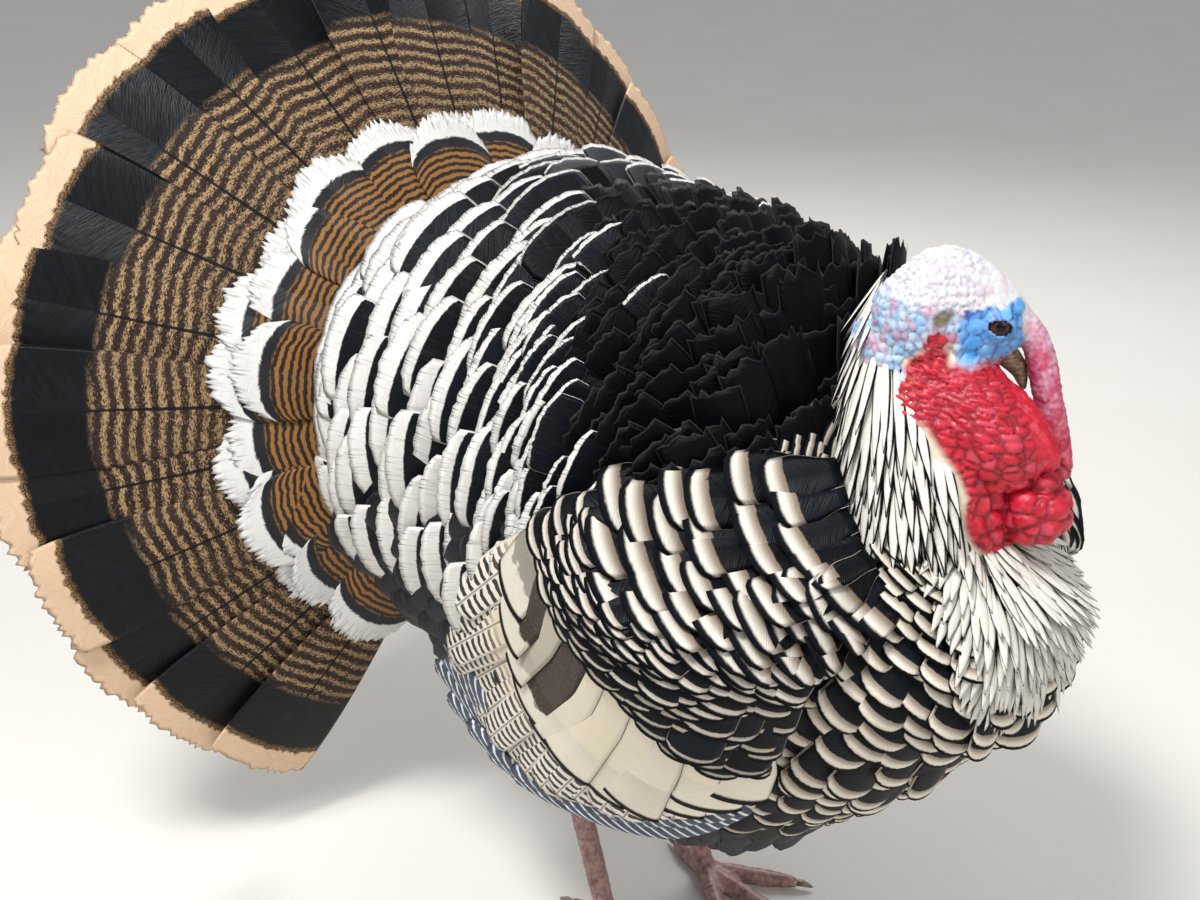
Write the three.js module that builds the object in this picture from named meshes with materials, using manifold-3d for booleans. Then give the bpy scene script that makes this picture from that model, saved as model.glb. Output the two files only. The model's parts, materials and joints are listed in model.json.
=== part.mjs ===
// A strutting domestic tom turkey at life size, as a still model.
// Millimetres, +Z up. The bird faces +X and its right side is -Y. It is laid out about the root of
// its tail, and the finished group is then moved so that its origin is the middle of its outline on
// the floor.
import * as THREE from 'three';
import { mergeVertices } from 'three/addons/utils/BufferGeometryUtils.js';
import Module from 'manifold-3d';

const wasm = await Module();
wasm.setup();

// ---------------------------------------------------------------- driving sizes

const GAP = 0.3; // clearance between neighbouring pieces
const RIGHT = -1;
const LEFT = 1;

const ROOT_HEIGHT = 385; // root of the tail above the floor
const FAN_LEAN = rad(8.5); // how far the tail's axis points above level
const FAN_SWEEP = rad(-23.6); // the spread tail is a shallow cone, its tips swept back
const FAN_FROM = rad(-78); // outer edge of the last feather on the left, from upright
const FAN_TO = rad(151); // outer edge of the last feather on the right
const TAIL_FEATHERS = 18;
const TAIL_LENGTH = 405; // root to the pale tip
const TAIL_HUB = 60;
const OUTER_SHORTER = 0.05; // how much shorter the outermost feathers of a row are
const COVERT_LENGTH = 235;
const COVERT_FEATHERS = 15;

const HOCK_HEIGHT = 140; // above the floor
const STANCE = 52; // each foot's distance from the middle line
const STANCE_AT = 150; // the feet's distance in front of the tail's root

const HEAD_AT = [381, 0, 153];
const HEAD_YAW = rad(49); // the head is turned to the left
const EYE_RADIUS = 9.5;
const EYE_AT = [19, 19, 4]; // in the head's frame, the left eye

// ---------------------------------------------------------------- small tools

function rad(degrees) {
  return (degrees * Math.PI) / 180;
}

function vec(x, y, z) {
  return new THREE.Vector3(x, y, z);
}

/** A smooth curve of size against place, through [place, size] stations. */
function sizes(stations) {
  const last = stations.length - 1;
  const slope = (i) => {
    const a = stations[Math.max(i - 1, 0)];
    const b = stations[Math.min(i + 1, last)];
    return (b[1] - a[1]) / (b[0] - a[0]);
  };
  return (x) => {
    let i = 0;
    while (i < last - 1 && x > stations[i + 1][0]) i += 1;
    const [x0, y0] = stations[i];
    const [x1, y1] = stations[i + 1];
    const s = THREE.MathUtils.clamp((x - x0) / (x1 - x0), 0, 1);
    const step = x1 - x0;
    const rise = (3 - 2 * s) * s * s;
    const out = s * (1 - s) * (1 - s) * slope(i) * step;
    const into = s * s * (1 - s) * slope(i + 1) * step;
    return y0 + (y1 - y0) * rise + out - into;
  };
}

/**
 * A closed skin of rings. place(t, turn, round) gives a point: t runs 0 to 1 along the body, turn
 * goes round it, and round falls to 0 at both ends, where the rings shrink to a point.
 */
function skin(sides, rings, place) {
  const geometry = new THREE.SphereGeometry(1, sides, rings);
  const position = geometry.attributes.position;
  for (let i = 0; i < position.count; i += 1) {
    const at = vec(0, 0, 0).fromBufferAttribute(position, i);
    const point = place((1 + at.y) / 2, Math.atan2(at.z, at.x), Math.hypot(at.x, at.z));
    position.setXYZ(i, point.x, point.y, point.z);
  }
  return geometry;
}

/**
 * A rounded limb along a curve. The half sizes across and through it are functions of t, and up is
 * the way that its thickness lies.
 */
function limb({ through, across, thick = across, up = vec(0, 0, 1), sides = 10, rings = 10, blunt = 0.5, grow = 0 }) {
  const curve = new THREE.CatmullRomCurve3(through.map((p) => vec(...p)), false, 'catmullrom', 0.5);
  return skin(sides, rings, (t, turn, round) => {
    const along = curve.getTangentAt(t);
    const side = along.clone().cross(up).normalize();
    const rise = side.clone().cross(along).normalize();
    const shape = round ** blunt;
    return curve
      .getPointAt(t)
      .addScaledVector(side, Math.cos(turn) * (across(t) * shape + grow * round))
      .addScaledVector(rise, Math.sin(turn) * (thick(t) * shape + grow * round))
      .addScaledVector(along, (2 * t - 1) * grow);
  });
}

/**
 * A closed sheet: point(u, v) is its middle, thick(u, v) its depth, u and v from 0 to 1, and grow
 * swells it all round.
 */
function sheet({ across, along, point, thick, grow = 0 }) {
  const geometry = new THREE.BoxGeometry(1, 1, 1, across, along, 1);
  const position = geometry.attributes.position;
  const step = 1e-3;
  for (let i = 0; i < position.count; i += 1) {
    const u = position.getX(i) + 0.5;
    const v = position.getY(i) + 0.5;
    const face = position.getZ(i) * 2;
    const middle = point(u, v);
    const du = point(u + step, v).sub(point(u - step, v));
    const dv = point(u, v + step).sub(point(u, v - step));
    const normal = du.clone().cross(dv).normalize();
    const at = middle.addScaledVector(normal, face * (thick(u, v) / 2 + grow));
    if (u === 0 || u === 1) at.addScaledVector(du.normalize(), (2 * u - 1) * grow * 3);
    if (v === 0 || v === 1) at.addScaledVector(dv.normalize(), (2 * v - 1) * grow * 3);
    position.setXYZ(i, at.x, at.y, at.z);
  }
  return geometry;
}

/** A closed geometry as a solid that can be cut. */
function solid(geometry) {
  const bare = geometry.clone();
  bare.deleteAttribute('normal');
  bare.deleteAttribute('uv');
  const merged = mergeVertices(bare, 1e-3);
  return new wasm.Manifold(
    new wasm.Mesh({
      numProp: 3,
      vertProperties: merged.attributes.position.array,
      triVerts: new Uint32Array(merged.index.array),
    }),
  );
}

/** The largest connected piece of a solid, as a flat-shaded geometry. */
function shape(cut) {
  const pieces = cut.decompose().sort((a, b) => b.volume() - a.volume());
  const mesh = pieces[0].getMesh();
  const geometry = new THREE.BufferGeometry();
  geometry.setAttribute('position', new THREE.BufferAttribute(mesh.vertProperties, 3));
  geometry.setIndex(new THREE.BufferAttribute(mesh.triVerts, 1));
  const flat = geometry.toNonIndexed();
  flat.computeVertexNormals();
  return flat;
}

/** A geometry less its neighbours. */
function less(geometry, ...cutters) {
  return shape(cutters.reduce((rest, cutter) => rest.subtract(solid(cutter)), solid(geometry)));
}

function finish(colour, roughness, metalness = 0) {
  return new THREE.MeshStandardMaterial({ color: colour, roughness, metalness });
}

const FINISH = {
  blackPlumage: finish('#0e1118', 0.45),
  creamPlumage: finish('#ece3d3', 0.75),
  barredPlumage: finish('#4a3b38', 0.7),
  chestnutPlumage: finish('#8a4b1e', 0.7),
  greyPlumage: finish('#8f8378', 0.75),
  paleSkin: finish('#b9cfe0', 0.5),
  redSkin: finish('#c8142f', 0.45),
  pinkSkin: finish('#d9628f', 0.45),
  horn: finish('#9a8463', 0.4),
  eye: finish('#1d0f0a', 0.08),
  legSkin: finish('#b58e88', 0.6),
};

function part(name, geometry, material) {
  const mesh = new THREE.Mesh(geometry, material);
  mesh.name = name;
  return mesh;
}

const sideName = (side) => (side === RIGHT ? 'right' : 'left');

// ---------------------------------------------------------------- tail

const fanAxis = vec(Math.cos(FAN_LEAN), 0, Math.sin(FAN_LEAN));
const fanUp = vec(-Math.sin(FAN_LEAN), 0, Math.cos(FAN_LEAN));
const fanRight = vec(0, -1, 0);

/** A point on the cone of the spread tail: turn from upright to the right, reach from the root. */
function onFan(turn, reach, forward = 0) {
  const out = fanUp.clone().multiplyScalar(Math.cos(turn)).addScaledVector(fanRight, Math.sin(turn));
  const rachis = out.clone().multiplyScalar(Math.cos(FAN_SWEEP)).addScaledVector(fanAxis, Math.sin(FAN_SWEEP));
  const front = fanAxis.clone().multiplyScalar(Math.cos(FAN_SWEEP)).addScaledVector(out, -Math.sin(FAN_SWEEP));
  return rachis.multiplyScalar(reach).addScaledVector(front, forward);
}

/** How far a place across a row of feathers is from its feather's middle, from 0 to 1. */
function offMiddle(u, feathers) {
  const place = u * feathers;
  return Math.abs(2 * (place - Math.floor(Math.min(place, feathers - 1e-6))) - 1);
}

/** A row of feathers spread on the cone of the tail, each one arched and round at its tip. */
function spreadRow({ feathers, perFeather, rows, from, to, hub, reach, scallop, arch, forward, thick, grow }) {
  return sheet({
    across: feathers * perFeather,
    along: rows,
    grow,
    thick: (u, v) => thick(v),
    point: (u, v) => {
      const off = offMiddle(u, feathers);
      const tip = reach * (1 - scallop * off ** 3) * (1 - OUTER_SHORTER * Math.abs(2 * u - 1) ** 3);
      const lift = arch * (1 - off * off) * v + forward(v);
      return onFan(to + (from - to) * u, hub + (tip - hub) * v, lift);
    },
  });
}

const tailFan = (grow = 0) =>
  spreadRow({
    feathers: TAIL_FEATHERS,
    perFeather: 3,
    rows: 3,
    from: FAN_FROM,
    to: FAN_TO,
    hub: TAIL_HUB,
    reach: TAIL_LENGTH,
    scallop: 0.025,
    arch: 2,
    forward: () => 0,
    thick: (v) => 5 - 3.4 * v,
    grow,
  });

const upperCoverts = (grow = 0) =>
  spreadRow({
    feathers: COVERT_FEATHERS,
    perFeather: 2,
    rows: 3,
    from: FAN_FROM + rad(4),
    to: FAN_TO - rad(3),
    hub: 80,
    reach: COVERT_LENGTH,
    scallop: 0.05,
    arch: 1.5,
    forward: (v) => 15 - 6.5 * v,
    thick: (v) => 18 - 13.5 * v,
    grow,
  });

const lowerCoverts = (grow = 0) =>
  spreadRow({
    feathers: 11,
    perFeather: 2,
    rows: 3,
    from: FAN_FROM + rad(16),
    to: FAN_TO - rad(16),
    hub: 80,
    reach: 232,
    scallop: 0.07,
    arch: -1.5,
    forward: (v) => -12 + 6.5 * v,
    thick: (v) => 14 - 11 * v,
    grow,
  });

/** The room that the three rows take where they pass into the trunk. */
const tailSlot = () =>
  spreadRow({
    feathers: 30,
    perFeather: 1,
    rows: 3,
    from: FAN_FROM - rad(1),
    to: FAN_TO + rad(1),
    hub: TAIL_HUB - 3,
    reach: COVERT_LENGTH + 15,
    scallop: 0,
    arch: 0,
    forward: () => 2,
    thick: (v) => 47 - 20 * v,
  });

// ---------------------------------------------------------------- trunk

const TRUNK_REAR = -96;
const TRUNK_FRONT = 468;

/** Un-rounds a station, so that the skin's round ends still pass through the size given. */
function stationed(stations, blunt) {
  return sizes(
    stations.map(([x, size]) => {
      const t = (x - TRUNK_REAR) / (TRUNK_FRONT - TRUNK_REAR);
      return [x, size / (2 * Math.sqrt(t * (1 - t))) ** blunt];
    }),
  );
}

const TRUNK_BLUNT = 0.6;
// Height of the trunk's widest line, at places along X.
const trunkMiddle = sizes([[-96, -4], [0, -7], [130, -22], [260, -30], [380, -34], [468, -26]]);
const trunkRise = stationed(
  [[-60, 150], [0, 198], [60, 208], [130, 214], [230, 210], [292, 200], [322, 150], [356, 104], [410, 80], [440, 56]],
  TRUNK_BLUNT,
);
const trunkDrop = stationed(
  [[-60, 120], [0, 168], [60, 194], [130, 214], [225, 237], [310, 200], [380, 134], [420, 94], [446, 60]],
  TRUNK_BLUNT,
);
const trunkWidth = stationed(
  [[-60, 156], [0, 190], [60, 184], [130, 178], [230, 172], [310, 156], [360, 134], [410, 100], [440, 70]],
  TRUNK_BLUNT,
);

const trunk = (grow = 0) =>
  skin(24, 20, (t, turn, round) => {
    const x = TRUNK_REAR + (TRUNK_FRONT - TRUNK_REAR) * t;
    const shapeOff = round ** TRUNK_BLUNT;
    const half = Math.sin(turn) > 0 ? trunkRise(x) : trunkDrop(x);
    const square = 0.93; // below 1 squares the section's shoulders
    const across = Math.sign(Math.cos(turn)) * Math.abs(Math.cos(turn)) ** square;
    const rise = Math.sign(Math.sin(turn)) * Math.abs(Math.sin(turn)) ** square;
    return vec(
      x + (2 * t - 1) * grow,
      -across * (trunkWidth(x) * shapeOff + grow * round),
      trunkMiddle(x) + rise * (half * shapeOff + grow * round),
    );
  });

// ---------------------------------------------------------------- wings

/** The wing's shoulder and coverts: a lens laid on the trunk's side. */
const wingCoverts = (side, grow = 0) =>
  limb({
    through: [
      [400, side * 98, 13],
      [350, side * 124, -6],
      [275, side * 142, -32],
      [205, side * 142, -56],
      [148, side * 134, -78],
    ],
    across: sizes([[0, 34], [0.15, 44], [0.45, 56], [0.8, 46], [1, 30]]),
    thick: sizes([[0, 62], [0.2, 88], [0.5, 104], [0.8, 92], [1, 66]]),
    sides: 14,
    rings: 9,
    blunt: 0.7,
    grow,
  });

/** A fan of flight feathers between a line under the coverts and the line of the tips. */
function flightFeathers({ side, roots, tips, feathers, perFeather, rows, scallop, bulge, thick, grow }) {
  const inner = new THREE.CatmullRomCurve3(roots.map(([x, y, z]) => vec(x, side * y, z)));
  const outer = new THREE.CatmullRomCurve3(tips.map(([x, y, z]) => vec(x, side * y, z)));
  return sheet({
    across: feathers * perFeather,
    along: rows,
    grow,
    thick: (u, v) => thick(v),
    point: (u, v) => {
      const s = THREE.MathUtils.clamp(side === RIGHT ? u : 1 - u, 0, 1);
      const from = inner.getPoint(s);
      const to = outer.getPoint(s);
      const reach = v * (1 - scallop * offMiddle(s, feathers) ** 3);
      return from.lerp(to, reach).add(vec(0, side * bulge * reach * (1 - reach) * 4, 0));
    },
  });
}

const secondaries = (side, grow = 0) =>
  flightFeathers({
    side,
    roots: [[190, 150, -52], [205, 150, -90], [235, 150, -120], [275, 150, -137]],
    tips: [[64, 146, -84], [48, 143, -144], [84, 150, -194], [180, 158, -206]],
    feathers: 8,
    perFeather: 2,
    rows: 2,
    scallop: 0.05,
    bulge: 8,
    thick: (v) => 6 - 4 * v,
    grow,
  });

const primaries = (side, grow = 0) =>
  flightFeathers({
    side,
    roots: [[210, 128, -116], [270, 130, -130], [330, 126, -120], [385, 112, -90]],
    tips: [[46, 130, -176], [98, 140, -212], [222, 146, -202], [330, 134, -156]],
    feathers: 8,
    perFeather: 2,
    rows: 2,
    scallop: 0.04,
    bulge: 6,
    thick: (v) => 6 - 4 * v,
    grow,
  });

// ---------------------------------------------------------------- neck, head and their fleshy parts

const neck = (grow = 0) =>
  limb({
    through: [[352, 0, -22], [376, -2, 28], [380, -8, 84], [366, -20, 134]],
    across: sizes([[0, 108], [0.3, 94], [0.6, 64], [0.85, 44], [1, 31]]),
    thick: sizes([[0, 84], [0.3, 74], [0.6, 56], [0.85, 42], [1, 31]]),
    up: vec(-1, 0, 0),
    sides: 14,
    rings: 8,
    blunt: 0.35,
    grow,
  });

const throatCaruncles = (grow = 0) =>
  limb({
    through: [[375, -16, 138], [391, -7, 119], [402, -4, 104], [418, 3, 88], [430, 7, 68]],
    across: sizes([[0, 28], [0.25, 28], [0.5, 32], [0.8, 34], [1, 30]]),
    thick: sizes([[0, 28], [0.25, 28], [0.5, 31], [0.8, 32], [1, 28]]),
    up: vec(1, 0, 0.3),
    sides: 12,
    rings: 9,
    blunt: 0.5,
    grow,
  });

const lowerCaruncles = (grow = 0) =>
  limb({
    through: [[427, -2, 55], [434, 13, 54], [439, 30, 57]],
    across: sizes([[0, 21], [0.5, 25], [1, 21]]),
    thick: sizes([[0, 20], [0.5, 23], [1, 20]]),
    sides: 12,
    rings: 10,
    blunt: 0.5,
    grow,
  });

/** The skull with its fleshy crown, in the head's own frame. */
const headShape = (grow = 0) =>
  limb({
    through: [[-46, 0, 6], [-26, 0, 3], [0, 0, 1], [24, 0, -1], [44, 0, -4]],
    across: sizes([[0, 25], [0.35, 27], [0.7, 24], [1, 15]]),
    thick: sizes([[0, 28], [0.3, 40], [0.62, 37], [0.85, 27], [1, 18]]),
    sides: 14,
    rings: 11,
    blunt: 0.75,
    grow,
  });

const eyeball = (side, grow = 0) =>
  new THREE.SphereGeometry(EYE_RADIUS + grow, 12, 6).translate(EYE_AT[0], side * EYE_AT[1], EYE_AT[2]);

const upperBill = (grow = 0) =>
  limb({
    through: [[18, 0, -12], [29, 0, -19], [38, 0, -29], [42, 0, -41]],
    across: sizes([[0, 11], [0.4, 9], [0.8, 5], [1, 2.5]]),
    thick: sizes([[0, 8], [0.4, 6.5], [0.8, 4], [1, 2.5]]),
    up: vec(1, 0, 1),
    sides: 8,
    rings: 7,
    grow,
  });

const lowerBill = (grow = 0) =>
  limb({
    through: [[6, 0, -20], [18, 0, -28], [28, 0, -36], [33, 0, -43]],
    across: sizes([[0, 10], [0.4, 8], [0.8, 4.5], [1, 2.5]]),
    thick: sizes([[0, 5], [0.4, 4], [0.8, 2.8], [1, 2]]),
    up: vec(1, 0, 1),
    sides: 8,
    rings: 7,
    grow,
  });

const snood = (grow = 0) =>
  limb({
    through: [[37, -2, 8], [46, -3, -4], [53, -3, -22], [57, -3, -40], [62, -3, -58], [68, -3, -76], [73, -3, -92]],
    across: sizes([[0, 7], [0.25, 8], [0.6, 8], [0.9, 7], [1, 6]]),
    thick: sizes([[0, 7], [0.25, 8], [0.6, 8], [0.9, 7], [1, 6]]),
    up: vec(1, 0, 0),
    sides: 8,
    rings: 10,
    blunt: 0.4,
    grow,
  });

const dewlap = (grow = 0) =>
  limb({
    through: [[20, -18, -35], [32, -27, -45], [43, -36, -59], [52, -40, -73]],
    across: sizes([[0, 11], [0.5, 12.5], [1, 9]]),
    thick: sizes([[0, 10], [0.5, 11], [1, 8]]),
    up: vec(1, 0, 0.5),
    sides: 10,
    rings: 7,
    blunt: 0.5,
    grow,
  });

const headGroup = new THREE.Group();
headGroup.position.set(...HEAD_AT);
headGroup.rotation.set(0, 0, HEAD_YAW);
headGroup.updateMatrixWorld(true);

const placed = (geometry) => geometry.applyMatrix4(headGroup.matrixWorld);
const unplaced = (geometry) => geometry.applyMatrix4(headGroup.matrixWorld.clone().invert());

// ---------------------------------------------------------------- legs

const SHANK_RADIUS = 8.5;
const TOE_RADIUS = 7;
const KNUCKLE_RADIUS = 11.5;
const SOLE = 1.4; // depth of the flat pressed into each toe by the bird's weight
// Each toe's heading from straight ahead, positive outwards, and its length from the ankle.
const TOES = [
  { name: 'inner', heading: rad(-32), length: 78 },
  { name: 'middle', heading: rad(2), length: 98 },
  { name: 'outer', heading: rad(36), length: 76 },
  { name: 'hind', heading: rad(172), length: 40 },
];

const ankle = (side) => vec(STANCE_AT, side * STANCE, TOE_RADIUS - SOLE - ROOT_HEIGHT);
const hock = (side) => vec(STANCE_AT - 44, side * (STANCE + 4), HOCK_HEIGHT - ROOT_HEIGHT);

const thigh = (side, grow = 0) =>
  limb({
    through: [
      [STANCE_AT + 27, side * 74, -124],
      [STANCE_AT + 3, side * 68, -178],
      [STANCE_AT - 23, side * 61, -224],
      [STANCE_AT - 44, side * 56, -254],
    ],
    across: sizes([[0, 46], [0.4, 34], [0.75, 19], [1, 12]]),
    thick: sizes([[0, 58], [0.4, 42], [0.75, 22], [1, 12]]),
    up: vec(1, 0, 0),
    sides: 12,
    rings: 6,
    grow,
  });

const shank = (side, grow = 0) => {
  const top = hock(side);
  const foot = ankle(side);
  const at = (s) => top.clone().lerp(foot, s).toArray();
  return limb({
    through: [at(0), at(0.5), at(1)],
    across: sizes([[0, 10], [0.2, SHANK_RADIUS], [0.8, SHANK_RADIUS], [1, 10]]),
    thick: sizes([[0, 11], [0.2, 9], [0.8, 8.5], [1, 10]]),
    up: vec(1, 0, 0),
    sides: 8,
    rings: 5,
    blunt: 0.35,
    grow,
  });
};

/** A point at a distance from the ankle along a toe, at a height above the floor. */
function onToe(side, toe, distance, height) {
  const from = ankle(side);
  return [
    from.x + Math.cos(toe.heading) * distance,
    from.y + side * Math.sin(toe.heading) * distance,
    height - ROOT_HEIGHT,
  ];
}

const toeShape = (side, toe, grow = 0) => {
  const low = TOE_RADIUS - SOLE;
  return limb({
    through: [0, 0.35, 0.7, 1].map((s) => onToe(side, toe, s * toe.length, low)),
    across: sizes([[0, 9], [0.3, 8], [0.6, 7.5], [1, 5.6]]),
    thick: sizes([[0, 9], [0.3, 7.6], [0.6, TOE_RADIUS], [1, 5.8]]),
    sides: 6,
    rings: 4,
    blunt: 0.35,
    grow,
  });
};

const clawShape = (side, toe, grow = 0) =>
  limb({
    through: [
      onToe(side, toe, toe.length - 6, 5.2),
      onToe(side, toe, toe.length + 4, 5.6),
      onToe(side, toe, toe.length + 13, 2.6),
    ],
    across: sizes([[0, 3.6], [0.5, 3], [1, 1]]),
    thick: sizes([[0, 3.4], [0.5, 2.8], [1, 1]]),
    sides: 6,
    rings: 4,
    grow,
  });

const spur = (side, grow = 0) => {
  const at = hock(side).lerp(ankle(side), 0.62);
  return limb({
    through: [
      [at.x - 4, at.y - side * 4, at.z],
      [at.x - 14, at.y - side * 8, at.z + 1],
      [at.x - 23, at.y - side * 10, at.z + 6],
    ],
    across: sizes([[0, 5], [0.5, 3.6], [1, 1]]),
    sides: 6,
    rings: 4,
    grow,
  });
};

/** Everything under the floor, for pressing flats into the soles. */
function underFloor() {
  const deep = 60;
  return new THREE.BoxGeometry(600, 600, deep).translate(STANCE_AT, 0, -ROOT_HEIGHT - deep / 2);
}

/** The ankle's knuckle, which the toes grow from. */
function knuckle(side, grow = 0) {
  const at = ankle(side);
  return new THREE.SphereGeometry(KNUCKLE_RADIUS + grow, 8, 5).translate(at.x - 1, at.y, at.z + 3);
}

function footSolid(side, grow = 0) {
  const toes = TOES.map((toe) => solid(toeShape(side, toe, grow)));
  return toes.reduce((rest, toe) => rest.add(toe), solid(knuckle(side, grow)));
}

// ---------------------------------------------------------------- assembly

const bird = new THREE.Group();

bird.add(part('tail_fan', shape(solid(tailFan())), FINISH.barredPlumage));
bird.add(part('tail_coverts_upper', shape(solid(upperCoverts())), FINISH.chestnutPlumage));
bird.add(part('tail_coverts_lower', shape(solid(lowerCoverts())), FINISH.greyPlumage));

bird.add(
  part(
    'trunk',
    less(trunk(), tailSlot(), thigh(RIGHT, GAP), thigh(LEFT, GAP)),
    FINISH.blackPlumage,
  ),
);

for (const side of [RIGHT, LEFT]) {
  const name = sideName(side);
  bird.add(part(`wing_${name}_coverts`, less(wingCoverts(side), trunk(GAP)), FINISH.creamPlumage));
  bird.add(
    part(
      `wing_${name}_secondaries`,
      less(secondaries(side), trunk(GAP), wingCoverts(side, GAP), tailFan(GAP), upperCoverts(GAP)),
      FINISH.creamPlumage,
    ),
  );
  bird.add(
    part(
      `wing_${name}_primaries`,
      less(primaries(side), trunk(GAP), wingCoverts(side, GAP), secondaries(side, GAP), tailFan(GAP)),
      FINISH.greyPlumage,
    ),
  );
}

/** The head and what hangs from it, swollen by the gap, where they lie on the bird. */
const headClearance = () => [headShape, upperBill, lowerBill, snood].map((piece) => placed(piece(GAP)));

bird.add(part('neck', less(neck(), trunk(GAP), ...headClearance()), FINISH.creamPlumage));
bird.add(
  part('throat_caruncles', less(throatCaruncles(), trunk(GAP), neck(GAP), ...headClearance()), FINISH.redSkin),
);
bird.add(
  part(
    'lower_caruncles',
    less(lowerCaruncles(), trunk(GAP), neck(GAP), throatCaruncles(GAP), placed(snood(GAP))),
    FINISH.redSkin,
  ),
);

headGroup.add(
  part(
    'head',
    less(headShape(), eyeball(LEFT, GAP), eyeball(RIGHT, GAP), upperBill(GAP), lowerBill(GAP), snood(GAP)),
    FINISH.paleSkin,
  ),
);
for (const side of [RIGHT, LEFT]) {
  headGroup.add(part(`eye_${sideName(side)}`, shape(solid(eyeball(side))), FINISH.eye));
}
headGroup.add(part('bill_upper', shape(solid(upperBill())), FINISH.horn));
headGroup.add(part('bill_lower', less(lowerBill(), upperBill(GAP)), FINISH.horn));
headGroup.add(part('snood', less(snood(), upperBill(GAP)), FINISH.pinkSkin));
headGroup.add(
  part(
    'dewlap',
    less(
      dewlap(),
      headShape(GAP),
      lowerBill(GAP),
      upperBill(GAP),
      snood(GAP),
      unplaced(throatCaruncles(GAP)),
      unplaced(lowerCaruncles(GAP)),
      unplaced(neck(GAP)),
    ),
    FINISH.redSkin,
  ),
);
bird.add(headGroup);

for (const side of [RIGHT, LEFT]) {
  const name = sideName(side);
  bird.add(part(`thigh_${name}`, shape(solid(thigh(side))), FINISH.blackPlumage));
  const bareShank = solid(shank(side)).subtract(solid(thigh(side, GAP)));
  bird.add(part(`shank_${name}`, shape(bareShank.subtract(footSolid(side, GAP))), FINISH.legSkin));
  const claws = TOES.map((toe) => solid(clawShape(side, toe, GAP)));
  const foot = claws.reduce((rest, claw) => rest.subtract(claw), footSolid(side));
  bird.add(part(`foot_${name}`, shape(foot.subtract(solid(underFloor()))), FINISH.legSkin));
  for (const toe of TOES) {
    bird.add(part(`claw_${name}_${toe.name}`, less(clawShape(side, toe), underFloor()), FINISH.horn));
  }
  bird.add(part(`spur_${name}`, less(spur(side), shank(side, GAP)), FINISH.horn));
}

const outline = new THREE.Box3().setFromObject(bird, true);
const middle = outline.getCenter(vec(0, 0, 0));
bird.position.set(-middle.x, -middle.y, -outline.min.z);

const turkey = new THREE.Group();
turkey.add(bird);

export default turkey;
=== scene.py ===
"""A life-size tom turkey in full display: one skin under a coat of separate vanes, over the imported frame.

Sizes are millimetres in the bird's own frame: the tail's root is the origin, +X the way it faces, +Z up.
Each finished piece is moved to the part's frame and turned into metres when its mesh is made.
"""
from __future__ import annotations

import json
import logging
import math
from dataclasses import dataclass, field, replace
from enum import Enum
from functools import partialmethod
from typing import Sequence

import bpy
import numpy as np
from mathutils import Matrix, Vector

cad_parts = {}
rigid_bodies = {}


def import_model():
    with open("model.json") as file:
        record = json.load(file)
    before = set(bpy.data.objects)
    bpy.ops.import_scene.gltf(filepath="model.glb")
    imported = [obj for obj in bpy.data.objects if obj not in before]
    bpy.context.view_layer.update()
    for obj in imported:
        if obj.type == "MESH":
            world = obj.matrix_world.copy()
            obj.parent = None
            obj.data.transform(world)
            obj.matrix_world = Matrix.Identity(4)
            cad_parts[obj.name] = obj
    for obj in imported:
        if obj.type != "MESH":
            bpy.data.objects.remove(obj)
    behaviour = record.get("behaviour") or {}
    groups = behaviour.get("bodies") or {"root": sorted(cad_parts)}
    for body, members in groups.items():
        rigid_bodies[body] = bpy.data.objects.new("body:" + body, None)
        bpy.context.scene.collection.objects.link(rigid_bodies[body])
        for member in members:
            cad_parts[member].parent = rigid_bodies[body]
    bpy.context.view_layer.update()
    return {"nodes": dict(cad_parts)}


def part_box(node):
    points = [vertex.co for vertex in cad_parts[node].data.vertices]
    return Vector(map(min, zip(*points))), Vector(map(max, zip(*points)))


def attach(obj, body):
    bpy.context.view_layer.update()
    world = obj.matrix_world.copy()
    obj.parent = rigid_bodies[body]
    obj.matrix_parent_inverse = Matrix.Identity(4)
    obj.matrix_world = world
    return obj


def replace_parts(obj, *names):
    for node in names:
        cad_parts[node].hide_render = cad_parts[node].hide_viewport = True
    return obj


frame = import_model()

LOG = logging.getLogger("turkey")
MM = 0.001
Array = np.ndarray
SEED = 20

HEAD_AT = np.array([381.0, 0.0, 153.0])
HEAD_YAW = math.radians(49.0)
EYE_AT = np.array([19.0, 19.0, 4.0])
EYE_RADIUS = 9.5
LID = 0.9
FLOOR = -385.0
STANCE_AT = 150.0


# ---------------------------------------------------------------- small mathematics


def unit(v: Array) -> Array:
    """Args: v: vectors in the last axis. Returns: the same directions with length one."""
    return v / np.maximum(np.linalg.norm(v, axis=-1, keepdims=True), 1e-9)


def smooth(a: float, b: float, x: Array) -> Array:
    """Args: a, b: where the step starts and ends; x: values. Returns: 3t^2 - 2t^3 with t from 0 at a to 1 at b."""
    t = np.clip((x - a) / (b - a), 0.0, 1.0)
    return t * t * (3.0 - 2.0 * t)


def bump(x: Array, centre: float, half: float) -> Array:
    """Args: x: values; centre, half: place and half width. Returns: exp(-((x - centre) / half)^2)."""
    return np.exp(-(((x - centre) / half) ** 2))


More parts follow.
